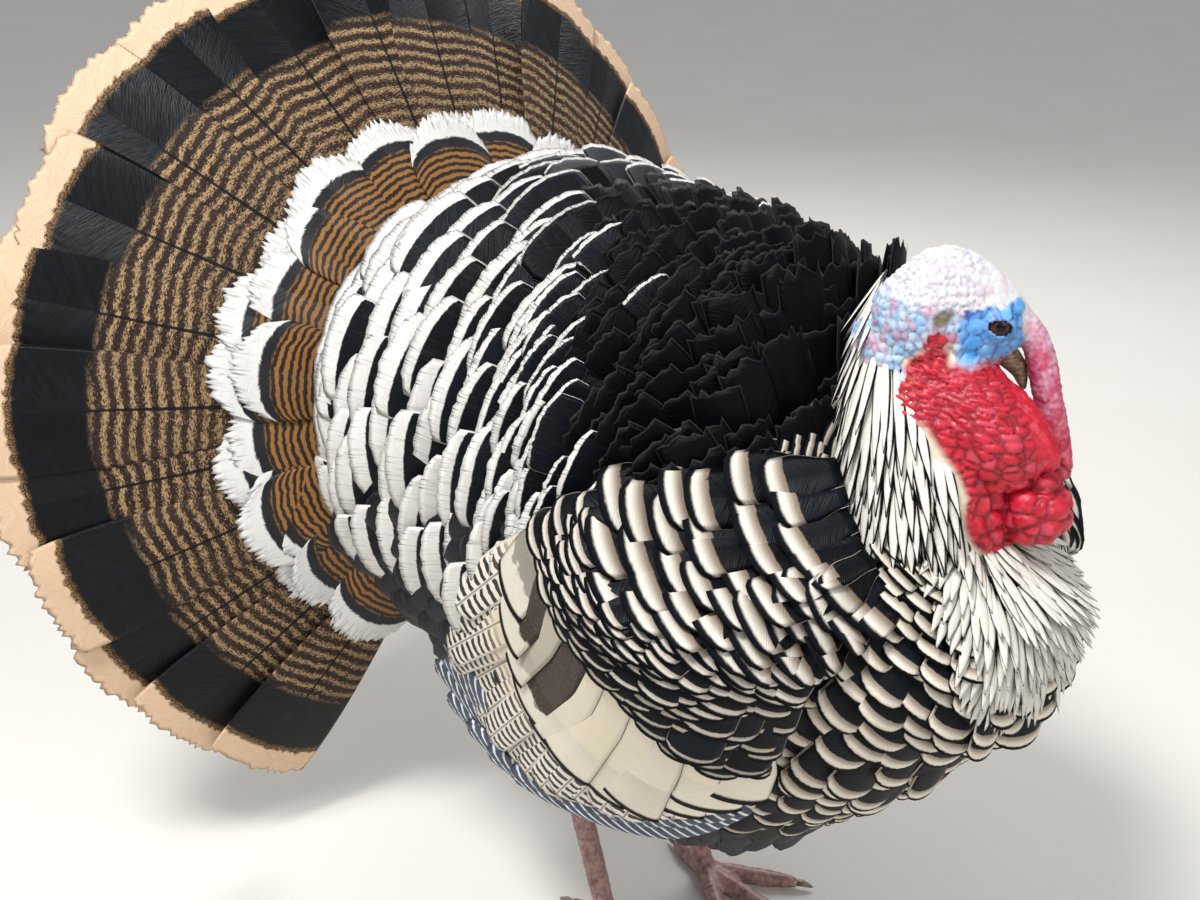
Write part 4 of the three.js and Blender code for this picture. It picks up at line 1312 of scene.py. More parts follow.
    def trunk_part(self) -> Part:
        """Returns: the trunk, drawn in by the coat's depth."""
        sides, rings = 72, 60
        x = TRUNK_REAR + (TRUNK_FRONT - TRUNK_REAR) * (1 - np.cos(np.linspace(0.02, math.pi - 0.02, rings))) / 2
        xx, rr = np.meshgrid(x, np.linspace(0, 2 * math.pi, sides, endpoint=False), indexing="ij")
        body = TRUNK.at(xx.ravel(), rr.ravel(), self.coat_depth)
        caps = [np.arange(sides).tolist(), ((rings - 1) * sides + np.arange(sides)[::-1]).tolist()]
        trunk = bpy.data.meshes.new("trunk_flesh")
        trunk.from_pydata((body * MM).tolist(), [], wall_faces(rings, sides).tolist() + caps)
        return body, {"is_hidden": np.ones(len(body))}, trunk

    def build(self) -> bpy.types.Object:
        """Returns: the skin, joined where neck, thighs and trunk meet."""
        pieces, names = [], {}
        for place, values, mesh in (self.head_part(), self.legs_part(), self.trunk_part()):
            names = names or dict.fromkeys(values)
            set_places(mesh, place)
            set_values(mesh, dict.fromkeys(names, np.zeros(len(place))) | values)
            mesh.update()
            pieces.append(add_object("skin_part", mesh))
        base = pieces[-1]
        for other in pieces[:-1]:
            join = base.modifiers.new("join", "BOOLEAN")
            join.operation, join.solver, join.object = "UNION", "MANIFOLD", other
        graph = bpy.context.evaluated_depsgraph_get()
        whole = triangles(base.evaluated_get(graph).data)
        if whole > self.most_faces:
            thin = base.modifiers.new("thin", "DECIMATE")
            thin.ratio = self.most_faces / whole
            graph = bpy.context.evaluated_depsgraph_get()
        mesh = bpy.data.meshes.new_from_object(base.evaluated_get(graph))
        for piece in pieces:
            bpy.data.objects.remove(piece)
        mesh.name = "skin"
        mesh.polygons.foreach_set("use_smooth", np.full(len(mesh.polygons), True))
        mesh.materials.clear()
        mesh.materials.append(SkinFinish().build())
        self.map_uv(mesh)
        skin = add_object("skin", mesh)
        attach(skin, "root")
        return skin

    @staticmethod
    def map_uv(mesh: bpy.types.Mesh) -> None:
        """Args: mesh: the skin. Lays each face on one of six sheets by the way it looks, side by side on the map."""
        p = read(mesh.vertices, "co", 3)
        low = p.min(0)
        normal = read(mesh.polygons, "normal", 3)
        axis = np.abs(normal).argmax(axis=1)
        back = normal[np.arange(len(normal)), axis] < 0
        total = read(mesh.polygons, "loop_total", 1, np.int32)
        axis, back = np.repeat(axis, total), np.repeat(back, total)
        x, y, z = ((p - low) / (p.max(0) - low).max())[read(mesh.loops, "vertex_index", 1, np.int32)].T
        first, second = np.choose(axis, [y, x, x]), np.choose(axis, [z, z, y])
        set_uv(mesh, np.stack([(first * 0.94 + 0.03 + axis) / 3.0, (second * 0.94 + 0.03 + back) / 2.0], axis=1))


# ---------------------------------------------------------------- tail


@dataclass
class Tail:
    """Eighteen tail feathers on the cone, a ring of upper coverts before them and lower coverts behind."""

    feathers: int = 18
    hub: float = 60.0
    covert_hub: float = 84.0
    under_hub: float = 82.0
    length: float = 405.0
    outer_shorter: float = 0.05
    root_slope: float = 0.5
    vent: float = -36.0

    def rectrices(self, rng: np.random.Generator) -> bpy.types.Object:
        """Args: rng: random numbers. Returns: the eighteen feathers."""
        n = self.feathers
        place = (np.arange(n) + 0.5) / n
        turn = FAN.first + (FAN.last - FAN.first) * place + rng.normal(0, 0.006, n)
        way, _, front = FAN.axes(turn)
        off = 2.0 * place - 1.0
        reach = self.length * (1.0 - self.outer_shorter * np.abs(off) ** 3)
        step = (FAN.last - FAN.first) / n
        flock = Flock(
            root=way * self.hub - front * (np.abs(off) * 5.0)[:, None],
            way=way, normal=front, length=reach - self.hub,
            width=self.length * step * 0.535, lift=np.zeros(n),
            chart=pairs(place, 0.5),
            twist=np.sign(off) * 0.045 + off * 0.02, curl=rng.normal(0.0, 0.012, n) - 0.012,
        )
        vane = Vane(across=31, along=64, tip=Tip.SQUARE, waist=0.13, widest=0.97, camber=0.06, thick=1.1, fringe=0.016,
                    taper=1.0)
        sheet = flock.grow(vane, rng, patch=0.0, ruffle=0.012)
        per = len(sheet.verts) // n
        local = np.stack([sheet.values["lat"] / 110.0, 1.0 - sheet.values["tip"] / 360.0 - 0.5], axis=1)
        which = np.repeat(np.arange(n), per)
        sheet.uv = np.stack([(which + 0.5) / n + local[:, 0] * 0.9 / n, 0.5 + local[:, 1] * 0.96], axis=1)
        piece = build_mesh("tail_feathers", sheet, RectrixFinish().build())
        return piece

    def ring(self, rng: np.random.Generator) -> bpy.types.Object:
        """Args: rng: random numbers. Returns: the upper coverts, in two staggered rows."""
        parts = []
        for row, (count, reach, ahead) in enumerate(((14, 244.0, 9.0), (13, 237.0, 12.5))):
            place = (np.arange(count) + 0.5) / count
            turn = FAN.first + 0.07 + (FAN.last - FAN.first - 0.12) * place + rng.normal(0, 0.02, count)
            way, _, front = FAN.axes(turn)
            step = (FAN.last - FAN.first) / count
            flock = Flock(
                root=way * self.covert_hub + front * ahead, way=way, normal=front,
                length=reach + rng.normal(0, 3.0, count) - self.covert_hub,
                width=reach * step * 0.52, lift=np.full(count, -0.012),
                chart=pairs(place * 0.9 + 0.05, 0.3 + 0.4 * row),
                twist=rng.normal(0.0, 0.05, count), curl=rng.normal(0.01, 0.012, count),
            )
            vane = Vane(across=41, along=20, waist=0.25, widest=0.85, camber=0.10, thick=1.0, fringe=0.045)
            parts.append(flock.grow(vane, rng, patch=0.05, ruffle=0.02))
        piece = build_mesh("tail_covert_feathers", Sheet.joined(parts), CovertFinish().build())
        return piece

    def under(self, rng: np.random.Generator) -> bpy.types.Object:
        """Args: rng: random numbers. Returns: the lower coverts, behind the fan and over the tail's root."""
        parts = []
        for row, (reach, behind) in enumerate(((232.0, -6.0), (200.0, -10.0), (168.0, -14.0), (136.0, -18.0))):
            count = 18 - 2 * row
            place = (np.arange(count) + 0.5) / count
            turn = FAN.first + 0.24 + (FAN.last - FAN.first - 0.48) * place + rng.normal(0, 0.03, count)
            way, _, front = FAN.axes(turn)
            flock = Flock(
                root=way * self.under_hub + front * behind, way=way, normal=-front,
                length=np.full(count, reach - self.under_hub), width=reach * 3.5 / count * 0.62,
                lift=np.zeros(count), chart=pairs(place * 0.9 + 0.05, 0.2 + 0.2 * row),
            )
            vane = Vane(across=11, along=14, tip=Tip.ROUND, waist=0.3, widest=0.85, camber=0.14, fringe=0.05, thick=0.9)
            parts.append(flock.grow(vane, rng, patch=0.04, ruffle=0.04))
        c, s = math.cos(self.root_slope), math.sin(self.root_slope)
        for row, (start, behind, count) in enumerate(
            ((96.0, -36.0, 26), (76.0, -46.0, 22), (54.0, -58.0, 17), (30.0, -71.0, 12), (6.0, -84.0, 9))
        ):
            place = (np.arange(count) + 0.5 * (row % 2)) / count
            way, _, front = FAN.axes(2.0 * math.pi * place + rng.normal(0, 0.04, count))
            flock = Flock(
                root=way * start + front * behind, way=way * c + front * s, normal=way * s - front * c,
                length=rng.normal(58.0, 3.0, count), width=(start + 32.0) * 3.3 / count + 3.0,
                lift=np.full(count, 0.03), chart=pairs(place * 0.9 + 0.05, 0.1 + 0.18 * row),
            )
            vane = Vane(across=11, along=12, tip=Tip.ROUND, waist=0.4, widest=0.8, camber=0.14, fringe=0.06, thick=0.9)
            parts.append(flock.only(flock.root[:, 2] > self.vent).grow(vane, rng, patch=0.03, ruffle=0.05))
        finish = BandFinish("Under Tail Covert", base="#3a2f29", band="#e7e2d8", rim_width=0.0, band_width=9.0,
                            side_share=0.3, soft=7.0, shade=0.4, rough=0.7, tone_and_painted_sheen="#5b4632", gap_shade=0.4)
        piece = build_mesh("undertail_feathers", Sheet.joined(parts), finish.build())
        return piece

    def build(self, rng: np.random.Generator) -> None:
        """Args: rng: random numbers. Makes the three rows and hides the nodes they stand for."""
        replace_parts(self.rectrices(rng), "tail_fan")
        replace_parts(self.ring(rng), "tail_coverts_upper")
        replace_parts(self.under(rng), "tail_coverts_lower")


# ---------------------------------------------------------------- coat of the trunk


def trunk_turn(p: Array) -> Array:
    """Args: p: points. Returns: degrees from the trunk's top down either side."""
    return np.degrees(np.arctan2(np.abs(p[:, 1]), p[:, 2] + 22.0))


CAPE_REAR = Profile(((0, 70), (8, 76), (28, 162), (46, 196), (63, 236), (90, 300)))
CAPE_SIDE = Profile(((150, 82), (238, 66), (286, 60), (327, 54), (348, 40)))


@dataclass
class Back:
    """Rump rows with white tips climbing to the tail, and the black cape before them, all standing off the back."""

    cape_pitch: float = 15.12
    rump_pitch: float = 24.5
    root_depth: float = 34.0
    foremost: float = 446.0
    saddle: float = 150.0
    cape_spread: float = 96.0
    rump_spread: float = 118.0

    def rows(self, rng: np.random.Generator) -> Flock:
        """Rings about the trunk's length, each feather rooted ahead of and below its tip.

        Args: rng: random numbers. Returns: every feather of the back and rump, its tone its place along.
        """
        rows: list[Flock] = []
        cape = np.arange(324.0, self.saddle, -self.cape_pitch)
        for row, x in enumerate(np.concatenate([cape, np.arange(self.saddle, -84.0, -self.rump_pitch)])):
            step, half = (5.6, 26.0) if x > self.saddle else (10.0, 36.0)
            spread = self.rump_spread if x < self.saddle else self.cape_spread
            count = int(2 * spread / step)
            turn = np.radians(90.0 + np.linspace(-spread, spread, count) + (row % 2) * step / 2)
            turn = turn + rng.normal(0, 0.02, count)
            xs = np.full(count, x) + rng.normal(0, 3.0, count)
            tip = TRUNK.at(xs, turn)
            ahead = TRUNK.at(np.minimum(xs + 30.0, self.foremost), turn, self.root_depth)
            along = TRUNK.at(xs + 6, turn) - TRUNK.at(xs - 6, turn)
            round_ = TRUNK.at(xs, turn + 0.03) - TRUNK.at(xs, turn - 0.03)
            normal = turned(unit(np.cross(along, round_)), tip - np.array([x, 0, 0]))
            way = tip - ahead
            face = turned(unit(np.cross(np.cross(way, normal), way)), normal)
            rows.append(Flock(
                ahead, way, face, np.linalg.norm(way, axis=1), np.full(count, half), np.zeros(count),
                pairs((x + 100) / 600, (np.degrees(turn) + 30) / 260), tone=xs,
            ))
        return Flock.merged(rows)

    def build(self, rng: np.random.Generator) -> None:
        """Args: rng: random numbers. Makes the rump and the cape."""
        flock = self.rows(rng)
        tip = flock.root + flock.way
        turn = trunk_turn(tip)
        rear = CAPE_REAR(turn) + rng.normal(0, 9.0, len(turn)) + 40.0 * (rng.random(len(turn)) > 0.86)
        is_rump = tip[:, 0] < rear
        side_limit = np.where(is_rump, 104.0, CAPE_SIDE(tip[:, 0]))
        keep = (turn < side_limit) & (flock.root[:, 0] < 352)
        fade = np.clip((rear - tip[:, 0]) / 170.0, 0.0, 1.0) ** 1.7
        flock.tone = np.where(is_rump, fade, 0.0)
        rump = flock.only(keep & is_rump)
        cape = flock.only(keep & ~is_rump)
        rump.twist = np.where(rump.root[:, 1] > 0, -0.10, 0.10)
        vane = Vane(across=19, along=9, tip=Tip.RUMP, waist=0.5, widest=0.7, camber=0.12, fringe=0.03, taper=1.0,
                    thick=0.8)
        finish = BandFinish("Rump Feather", band="#efede8", band_width=1.6, tone_width=11.5, side_share=0.12,
                            soft=2.5, rough=0.5, gap_shade=0.8)
        piece = build_mesh("rump_feathers", rump.grow(vane, rng), finish.build())
        cape.twist = np.where(cape.root[:, 1] > 0, -0.12, 0.12)
        cape.width = cape.width * 0.6
        vane = Vane(across=9, along=9, tip=Tip.SQUARE, waist=0.5, widest=0.7, camber=0.14, fringe=0.10, taper=0.95,
                    thick=0.8)
        # Cape: the thin blue-black band along each tip is a painted highlight, and the drift colour a painted blue
        # sheen.
        finish = BandFinish("Cape Feather", base="#020203", band="#080a10", band_width=1.0, side_share=0.5,
                            soft=2.0, rough=0.5, gloss=0.12, tone_and_painted_sheen="#04060a")
        piece = build_mesh("cape_feathers", cape.grow(vane, rng, ruffle=0.09), finish.build())


@dataclass
class Breast:
    """Breast, belly and flank feathers, in rings about the neck's base, growing from fine to broad."""

    girth_radius: float = 215.0
    path_radius: float = 245.0
    belly_from: float = 60.0
    belly_pitch: float = 20.0

    @staticmethod
    def throat_edge(round_: Array) -> Array:
        """Args: round_: degrees round from the top. Returns: how much further the bare throat reaches, in degrees."""
        return 15.5 * smooth(100.0, 165.0, round_)

    def rings(self, rng: np.random.Generator, fine: bool) -> Flock:
        """Rings of feathers about the neck's base.

        Args: rng: random numbers; fine: whether these are the narrow ones under the throat.
        Returns: the feathers, each one's tone its polar angle in degrees and its kind the angle round from the top.
        """
        parts: list[Flock] = []
        polar, last = (4.0, 25.0) if fine else (7.5, 177.0)
        row = 0
        while polar < last:
            size = 0.46 + 0.54 * float(smooth(12.0, 36.0, np.array(polar)))
            pitch, gap, half, length, depth = 14.5 * size, 21.0 * size, 21.0 * size, 46.0 * size, 17.0 * size**0.5
            if polar > self.belly_from:
                pitch = self.belly_pitch
            if fine:
                pitch, gap, half, length, depth = 7.0, 4.8, 3.3, 34.0, 7.0
            count = max(8, int(2 * math.pi * math.sin(math.radians(polar)) * self.girth_radius / gap))
            around = (np.arange(count) + 0.5 * (row % 2)) * 2 * math.pi / count + rng.normal(0, 0.12 / count, count)
            place = np.full(count, math.radians(polar)) + rng.normal(0, 0.01, count)
            p, normal, way = TRUNK.ring_point(place, around)
            parts.append(Flock(
                p - normal * depth, way, normal, np.full(count, length), np.full(count, half),
                np.full(count, math.asin(depth / length) * 0.86),
                pairs(polar / 180.0, around / (2 * math.pi) * 0.96 + 0.02), curl=-0.10, tone=np.full(count, polar),
                kind=np.degrees(np.abs((around + math.pi) % (2 * math.pi) - math.pi)),
                twist=np.where(np.sin(around) > 0, 0.10, -0.10),
            ))
            polar += math.degrees(pitch / self.path_radius)
            row += 1
        return Flock.merged(parts)

    def build(self, rng: np.random.Generator) -> None:
        """Args: rng: random numbers. Makes breast, flank and belly in three finishes."""
        flock = self.rings(rng, True)
        edge = 8.0 + self.throat_edge(flock.kind) + rng.normal(0, 0.7, len(flock.root))
        flock = flock.only(flock.tone < edge)
        flock.twist = flock.twist * 0.3
        fine = Vane(across=5, along=8, tip=Tip.LANCE, waist=0.7, widest=0.5, camber=0.2, thick=0.35, taper=0.8)
        finish = BandFinish("Upper Breast Feather", base="#b9b2a6", band="#e3dfd6", rim="#2b2b31", rim_width=0.42,
                            band_width=24.0, side_share=1.0, soft=0.8, shade=0.2, rough=0.7)
        piece = build_mesh("upper_breast_feathers", flock.grow(fine, rng, ruffle=0.045), finish.build())
        flock = self.rings(rng, False)
        p = flock.root
        turn = trunk_turn(p)
        under_cape = (turn < CAPE_SIDE(p[:, 0]) + 2.0) & (p[:, 0] < 330) & (turn < 100)
        under_rump = (p[:, 0] < 40) & (turn < 96)
        below_throat = flock.tone < 6.5 + self.throat_edge(flock.kind)
        keep = ~(under_cape | under_rump | below_throat)
        breast = keep & (p[:, 0] + 0.35 * p[:, 2] > 262) & (p[:, 0] > 250)
        pale = smooth(322.0, 384.0, p[:, 0] + 0.15 * p[:, 2])
        lower = breast & (pale > 0.04)
        belly = keep & ~lower
        flock.tone = pale
        broad = Vane(across=9, along=9, tip=Tip.BLUNT, waist=0.55, widest=0.6, camber=0.16, taper=0.97)
        finish = BandFinish("Breast Feather", band="#ebe2d2", rim_width=2.1, band_width=1.8, tone_width=4.8,
                            side_share=0.22, soft=2.2, shade=0.8, rough=0.5)
        piece = build_mesh("breast_feathers", flock.only(lower).grow(broad, rng), finish.build())
        plain = Vane(across=7, along=8, tip=Tip.ROUND, waist=0.55, widest=0.6, camber=0.22, fringe=0.08)
        # Belly: the bluish band along each tip is a painted blue sheen on black feathers.
        finish = BandFinish("Belly Feather", base="#07080c", band="#121a2b", band_width=5.0, side_share=0.6,
                            soft=5.0, rough=0.42, gloss=0.3, tone_and_painted_sheen="#0e1624")
        piece = build_mesh("belly_feathers", flock.only(belly).grow(plain, rng), finish.build())


@dataclass
class Hackle:
    """The neck's cascade: narrow pale lancets with dark edges, broader towards the base."""

    rows: int = 21
    length: float = 44.0
    clearance: float = 33.0
    foremost: float = 430.0

    def build(self, rng: np.random.Generator) -> None:
        """Args: rng: random numbers. Makes the cascade, leaving the throat's caruncles clear."""
        parts: list[Flock] = []
        for row in range(self.rows):
            t = 0.03 + 0.69 * row / (self.rows - 1)
            size = 1.0 + 0.75 * t
            girth = 2 * math.pi * (float(MANE.across(np.array(t))) + float(MANE.thick(np.array(t)))) / 2
            count = int(girth / (4.4 + 3.6 * t))
            turn = (np.arange(count) + 0.5 * (row % 2)) * 2 * math.pi / count + rng.normal(0, 0.03, count)
            tt = np.clip(np.full(count, t) + rng.normal(0, 0.010, count), 0.01, 0.99)
            p = MANE.surface(tt, turn)
            below = MANE.surface(tt + 0.04, turn)
            beside = MANE.surface(tt, turn + 0.05) - MANE.surface(tt, turn - 0.05)
            way = unit(below - p)
            normal = turned(unit(np.cross(way, beside)), p - along_curve(MANE.curve(), tt))
            parts.append(Flock(
                p, way, normal, np.full(count, self.length * size), np.full(count, 2.5 + 4.2 * t), np.full(count, 0.13),
                pairs(t, turn / (2 * math.pi) * 0.9 + 0.02), curl=-0.04, tone=np.full(count, t),
            ))
        flock = Flock.merged(parts)
        middle = flock.root + flock.way * self.length / 2
        clear = [distance_to(limb.curve(), middle)[0] > self.clearance for limb in (BEADS, LOBES)]
        flock = flock.only(clear[0] & clear[1] & (flock.root[:, 0] < self.foremost))
        vane = Vane(across=5, along=10, tip=Tip.LANCE, waist=0.8, widest=0.35, camber=0.3, thick=0.6, taper=0.7)
        finish = BandFinish("Hackle", base="#d9d3c8", band="#ece8df", rim="#07080c", rim_width=0.45, tone_rim=2.2,
                            band_width=60.0, side_share=1.0, soft=0.6, shade=0.1, rough=0.6, tone_and_painted_sheen="#c9c2b6")
        piece = build_mesh("neck_feathers", flock.grow(vane, rng, ruffle=0.05), finish.build())


# ---------------------------------------------------------------- wings


@dataclass
class Wing:
    """A drooped wing: rows of feathers on a net of five guide lines, from the shoulder out to the quills' tips."""

    side: float
    overlap: float = 0.5
    stagger: float = 0.25
    guides: tuple[tuple[tuple[float, float, float], ...], ...] = (
        ((336, 96, 74), (360, 104, 44), (392, 110, 27), (405, 98, 8), (418, 88, -1)),
        ((270, 171, 57), (295, 191, 18), (347, 178, 3), (377, 156, -9), (403, 119, -17)),
        ((226, 184, 19), (272, 197, -19), (310, 193, -43), (344, 169, -79), (371, 124, -104)),
        ((203, 186, -16), (190, 176, -92), (232, 166, -146), (300, 147, -151), (370, 122, -112)),
        ((114, 176, -75), (62, 149, -157), (128, 150, -197), (248, 147, -186), (350, 109, -143)),
    )

    def net(self, w: Array, s: Array) -> Array:
        """Args: w: place from the inner guide 0 to the outer 4; s: from the rear 0 to the wrist 1. Returns: points."""
        lines = np.stack([curve_through(g, 60) for g in self.guides])
        j = s * 59
        j0 = np.clip(j.astype(int), 0, 58)
        b = (j - j0)[None, :, None]
        p = lines[:, j0] * (1 - b) + lines[:, j0 + 1] * b
        p = np.concatenate([2 * p[:1] - p[1:2], p, 2 * p[-1:] - p[-2:-1]])
        i = np.clip(np.floor(w).astype(int), 0, 3)
        t = (w - i)[:, None]
        n = np.arange(len(i))
        before, start, end, after = p[i, n], p[i + 1, n], p[i + 2, n], p[i + 3, n]
        slope, into = (end - before) / 2, (after - start) / 2
        rise = t * t * (3 - 2 * t)
        place = start * (1 - rise) + end * rise + slope * t * (1 - t) ** 2 - into * t * t * (1 - t)
        return place * (1.0, self.side, 1.0)

    def row(self, count: int, root_w: float, tip_w: float, width: float, rng: np.random.Generator, end: float = 0.97,
            sink: float = 9.0, lift: float = 2.0, half: float = 0.0, twist: float = 0.12) -> Flock:
        """One row of feathers between two lines of the net.

        Args: count: feathers; root_w, tip_w: the lines of roots and tips; width: half width; rng: random numbers;
            end: the last place used; sink: depth of the roots; lift: height of the tips; half: stagger;
            twist: of the vane.
        Returns: the row.
        """
        s = end * (np.arange(count) + 0.5 + half) / count
        s = np.clip(s + rng.normal(0, 0.12 / count, count), 0, 1)
        w0, w1 = np.full(count, root_w), np.full(count, tip_w)
        base, tip = self.net(w0, s), self.net(w1, s)
        mid = np.full(count, (root_w + tip_w) / 2)
        a = self.net(mid, np.clip(s + 0.02, 0, 1)) - self.net(mid, np.clip(s - 0.02, 0, 1))
        normal = turned(unit(np.cross(a, tip - base)), np.array([0, self.side, 0.25]))
        base, tip = base - normal * sink, tip + normal * lift
        way = tip - base
        length = np.linalg.norm(way, axis=1)
        gap = np.linalg.norm(self.net(w1, np.clip(s + end / count, 0, 1)) - self.net(w1, s), axis=1)
        wide = np.clip(width * gap, 5.0, 0.55 * length + 2.0)
        return Flock(base, way, squared(normal, way), length, wide, np.zeros(count),
                     pairs(s * 0.9 + 0.05, tip_w / 4.2), curl=-0.02, twist=twist * self.side)

    def primaries(self, rng: np.random.Generator) -> Flock:
        """Args: rng: random numbers. Returns: the long outer quills that sweep rearward along the wing's lower edge."""
        count = 9
        rank = np.arange(count) / (count - 1.0)
        low = 0.62 - 0.52 * rank
        base = self.net(np.full(count, 3.4), np.minimum(low + 0.36, 0.95))
        tip = self.net(np.full(count, 3.98), low)
        inward = np.array([0.05, -self.side, 0.05])
        base, tip = base + inward * 8.0, tip + inward * (3.0 + 2.5 * rank)[:, None]
        way = tip - base
        face = squared(np.array([0.0, self.side, -0.25]), way)
        return Flock(base, way, face, np.linalg.norm(way, axis=1), 11.0, 0.0, pairs(0.05 + 0.9 * rank, 0.97),
                     twist=0.1 * self.side, tone=1.0, bow=0.11 * self.side + rng.normal(0, 0.004, count))

    def build(self, rng: np.random.Generator) -> None:
        """Args: rng: random numbers. Makes the wing's pieces and hides its nodes."""
        name = "right" if self.side < 0 else "left"
        scapular: list[Sheet] = []
        vane = Vane(across=9, along=10, tip=Tip.BLUNT, waist=0.6, widest=0.6, camber=0.14, thick=0.8, taper=0.98)
        for k in range(6):
            tip_w = 0.06 + 0.185 * k
            half = self.stagger * (-1) ** k
            flock = self.row(8, tip_w - self.overlap, tip_w, 1.0, rng, end=0.95, sink=14.0, lift=3.5, half=half)
            scapular.append(flock.grow(vane, rng, ruffle=0.04))
        finish = BandFinish(f"Scapular {name}", band="#ede5d8", rim_width=4.6, band_width=10.0, side_share=0.03,
                            soft=2.5, shade=0.95, rough=0.45)
        piece = build_mesh(f"scapulars_{name}", Sheet.joined(scapular), finish.build())
        median: list[Sheet] = []
        vane = replace(vane, along=9)
        for k in range(9):
            tip_w = 1.12 + 0.112 * k
            flock = self.row(13, tip_w - self.overlap, tip_w, 1.0, rng, half=self.stagger * (-1) ** k)
            rearward = 1.0 - np.clip((np.arange(13) - 1.0) / 3.0, 0, 1)
            flock.tone = np.maximum(rearward, 1.0 - np.clip((k - 1) / 6.0, 0, 1) * 0.8)
            median.append(flock.grow(vane, rng, ruffle=0.05))
        finish = BandFinish(f"Median Covert {name}", band="#e4dccf", rim_width=2.5, band_width=0.9, tone_width=2.6,
                            side_share=0.15, soft=1.6, shade=0.6, rough=0.4)
        coverts = build_mesh(f"median_coverts_{name}", Sheet.joined(median), finish.build())
        vane = Vane(across=13, along=18, tip=Tip.SQUARE, waist=0.7, widest=0.5, camber=0.10, thick=1.0, taper=1.0)
        flock = self.row(11, 1.7, 3.0, 0.8, rng, sink=4.0, twist=0.08)
        flock.kind = np.array([0.6, 1.0, 0.4, 1.0, 0, 0, 0, 0, 0, 0, 0])
        finish = BandFinish(f"Greater Covert {name}", base="#ebe3d2", band="#ebe3d2", rim="#0a090c", rim_width=5.0,
                            band_width=40.0, side_share=0.06, soft=3.0, shade=0.12, rough=0.55, tone_and_painted_sheen="#d5c6a6",
                            patch=0.95)
        greater = build_mesh(f"greater_coverts_{name}", flock.grow(vane, rng, patch=0.03, ruffle=0.015), finish.build())
        vane = Vane(across=13, along=34, tip=Tip.ROUND, waist=0.7, widest=0.5, camber=0.10, thick=1.2, fringe=0.01)
        inner = self.row(19, 1.9, 3.74, 0.8, rng, lift=-1.0, twist=0.08)
        outer = self.primaries(rng)
        sheet = Sheet.joined([flock.grow(vane, rng, patch=0.04, ruffle=ruffle)
                              for flock, ruffle in ((inner, 0.012), (outer, 0.006))])
        quills = build_mesh(f"quills_{name}", sheet, FlightFinish(f"Flight {name}").build())
        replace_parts(coverts, f"wing_{name}_coverts")
        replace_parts(greater, f"wing_{name}_secondaries")
        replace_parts(quills, f"wing_{name}_primaries")


@dataclass
class ThighFeathers:
    """Short dark feathers round each thigh, down to the hock."""

    def build(self, rng: np.random.Generator) -> None:
        """Args: rng: random numbers. Makes both thighs' feathers."""
        sheets = []
        for side in (-1.0, 1.0):
            line = tuple((STANCE_AT + dx, side * y, z)
                         for dx, y, z in ((27, 74, -124), (3, 68, -178), (-23, 61, -224), (-44, 56, -254)))
            limb = Limb(line, Profile(((0, 44), (0.4, 32), (0.75, 17), (1, 11))),
                        Profile(((0, 56), (0.4, 40), (0.75, 20), (1, 11))), (1, 0, 0))
            for row in range(11):
                t = 0.12 + 0.76 * row / 10
                count = int(30 - 18 * t)
                turn = (np.arange(count) + 0.5 * (row % 2)) * 2 * math.pi / count
                p = limb.surface(np.full(count, t), turn)
                way = unit(limb.surface(np.full(count, t + 0.05), turn) - p)
                normal = unit(p - along_curve(limb.curve(), np.full(count, t)))
                flock = Flock(p - normal * 6.0, way, normal, 30.0 - 8 * t, 9.0 - 3 * t, 0.2, pairs(t, turn / 6.4),
                              curl=-0.05)
                sheets.append(flock.grow(Vane(across=5, along=6), rng))
        finish = BandFinish("Thigh Feather", base="#17171c", band="#3a3735", band_width=3.0, rough=0.6, tone_and_painted_sheen="#242430")
        piece = build_mesh("thigh_feathers", Sheet.joined(sheets), finish.build())


# ---------------------------------------------------------------- hard parts


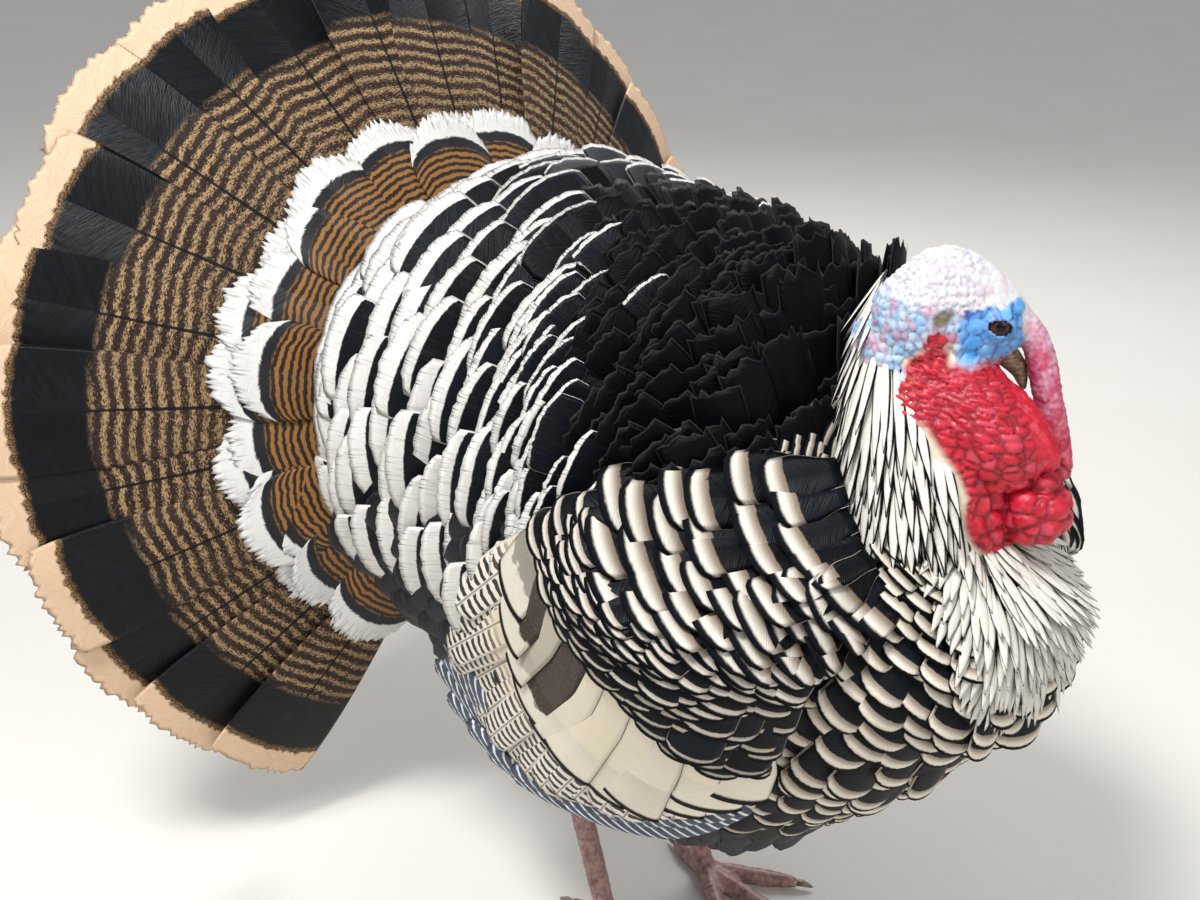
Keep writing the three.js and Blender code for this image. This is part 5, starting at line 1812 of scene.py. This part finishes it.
@dataclass
class HardParts:
    """Bill, eyes, claws and spurs."""

    def bill(self, name: str, limb: Limb, ridge: float) -> bpy.types.Object:
        """Args: name: the node it replaces; limb: its form; ridge: height of its keel. Returns: the piece."""
        sheet = limb.solid(32, 40)
        q = sheet.verts
        q[:, 0] += ridge * bump(q[:, 1], 0.0, 1.8) * (np.abs(q[:, 1]) < 3.0)
        piece = build_mesh(name + "_horn", Sheet(from_head(q), sheet.faces), HornFinish(f"Horn {name}").build())
        Skin.map_uv(piece.data)
        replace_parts(piece, name)
        return piece

    def eye(self, side: float) -> bpy.types.Object:
        """Args: side: 1 left, -1 right. Returns: the eyeball, its cornea a low second bulge."""
        rings, sides = 28, 40
        polar = np.linspace(0.02, math.pi - 0.02, rings)
        pp, rr = np.meshgrid(polar, np.linspace(0, 2 * math.pi, sides, endpoint=False), indexing="ij")
        pp, rr = pp.ravel(), rr.ravel()
        radius = EYE_RADIUS - 0.3 + 0.45 * bump(pp, 0.0, 0.5)
        heading = np.stack([np.sin(pp) * np.cos(rr), side * np.cos(pp), np.sin(pp) * np.sin(rr)], axis=1)
        ring = np.where(pp < 1.6, EYE_RADIUS * np.sin(pp), EYE_RADIUS)
        faces = tube_faces(rings, sides)
        faces = faces[:, ::-1] if side > 0 else faces
        place = from_head(heading * radius[:, None] + EYE_AT * (1.0, side, 1.0))
        name = "eye_left" if side > 0 else "eye_right"
        piece = build_mesh(f"{name}_ball", Sheet(place, faces, {"ring": ring}), EyeFinish(f"Wet {name}").build())
        Skin.map_uv(piece.data)
        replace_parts(piece, name)
        return piece

    def claws(self) -> None:
        """Gives the claws' and spurs' own solids their horn, each node keeping its shape."""
        horn = HornFinish("Horn Claw", light="#8d7a60", dark="#3a2d24").build()
        for name, node in frame["nodes"].items():
            if name.startswith(("claw_", "spur_")):
                for slot in node.material_slots:
                    slot.link = "OBJECT"
                    slot.material = horn

    def build(self) -> None:
        """Makes them all."""
        self.bill("bill_upper", UPPER_BILL, 1.2)
        self.bill("bill_lower", LOWER_BILL, -0.4)
        for side in (-1.0, 1.0):
            self.eye(side)
        self.claws()


# ---------------------------------------------------------------- stage


@dataclass
class Stage:
    """A plain pale floor, soft light and the camera."""

    camera_place: tuple[float, float, float] = (860.0, -672.0, 398.6)
    azimuth: float = math.radians(49.3)
    dip: float = math.radians(22.0)
    lens: float = 45.0
    lamps: tuple[tuple[str, tuple[float, float, float], float, float], ...] = (
        ("key", (0.3, -1.2, 2.4), 60.0, 0.6),
        ("fill", (2.3, -0.2, 1.3), 12.0, 1.6),
        ("rim", (-1.2, 1.6, 1.9), 24.0, 1.0),
    )
    look_at: tuple[float, float, float] = (0.0, 0.0, 0.35)
    floor_half: float = 20.0

    def build(self) -> None:
        """Makes the floor, the lights, the world and the camera."""
        mesh = bpy.data.meshes.new("floor")
        corners = [(x * self.floor_half, y * self.floor_half, 0.0) for x, y in ((-1, -1), (1, -1), (1, 1), (-1, 1))]
        mesh.from_pydata(corners, [], [(0, 1, 2, 3)])
        material, g, shader = new_material("Floor")
        g.fill(shader, Base_Color=g.mix(g.noise(g.place(), 3.0), "#e6e3dc", "#dedad2"), Roughness=0.85)
        mesh.materials.append(material)
        floor = add_object("floor", mesh)
        for name, at, power, wide in self.lamps:
            light = bpy.data.lights.new(name, "AREA")
            light.energy, light.size = power, wide
            lamp = add_object(name, light)
            lamp.location = at
            lamp.rotation_euler = (Vector(self.look_at) - Vector(at)).to_track_quat("-Z", "Y").to_euler()
        world = bpy.data.worlds.new("soft")
        world.use_nodes = True
        back = world.node_tree.nodes["Background"]
        back.inputs["Color"].default_value = (0.86, 0.88, 0.92, 1.0)
        back.inputs["Strength"].default_value = 0.5
        bpy.context.scene.world = world
        camera = bpy.data.cameras.new("camera")
        camera.lens, camera.sensor_width, camera.clip_start = self.lens, 36.0, 0.01
        holder = add_object("camera", camera)
        a, e = self.azimuth, self.dip
        look = Vector((-math.sin(a) * math.cos(e), math.cos(a) * math.cos(e), -math.sin(e)))
        right = Vector((math.cos(a), math.sin(a), 0.0))
        up = right.cross(look)
        turn = Matrix((right, up, -look)).transposed().to_4x4()
        holder.matrix_world = Matrix.Translation(Vector((np.asarray(self.camera_place) + ROOT) * MM)) @ turn
        bpy.context.scene.camera = holder
        bpy.context.scene.view_settings.view_transform = "Standard"


SKIN_NODES = ("trunk", "neck", "head", "throat_caruncles", "lower_caruncles", "snood", "dewlap", "thigh_right",
              "thigh_left", "shank_right", "shank_left", "foot_right", "foot_left")


def main() -> None:
    """Builds the bird in order, then the stage, and logs what each step made."""
    logging.basicConfig(level=logging.INFO, format="%(message)s")
    rng = np.random.default_rng(SEED)
    Stage().build()
    skin = Skin().build()
    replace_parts(skin, *SKIN_NODES)
    LOG.info("skin: %d faces", len(skin.data.polygons))
    Tail().build(rng)
    Back().build(rng)
    Breast().build(rng)
    Hackle().build(rng)
    for side in (-1.0, 1.0):
        Wing(side).build(rng)
    ThighFeathers().build(rng)
    HardParts().build()
    total = 0
    for piece in bpy.context.scene.objects:
        if piece.type == "MESH" and piece.name not in frame["nodes"] and piece.name != "floor":
            count = triangles(piece.data)
            total += count
            LOG.info("%s: %d triangles", piece.name, count)
    LOG.info("triangles in all: %d", total)


if __name__ == "__main__":
    main()
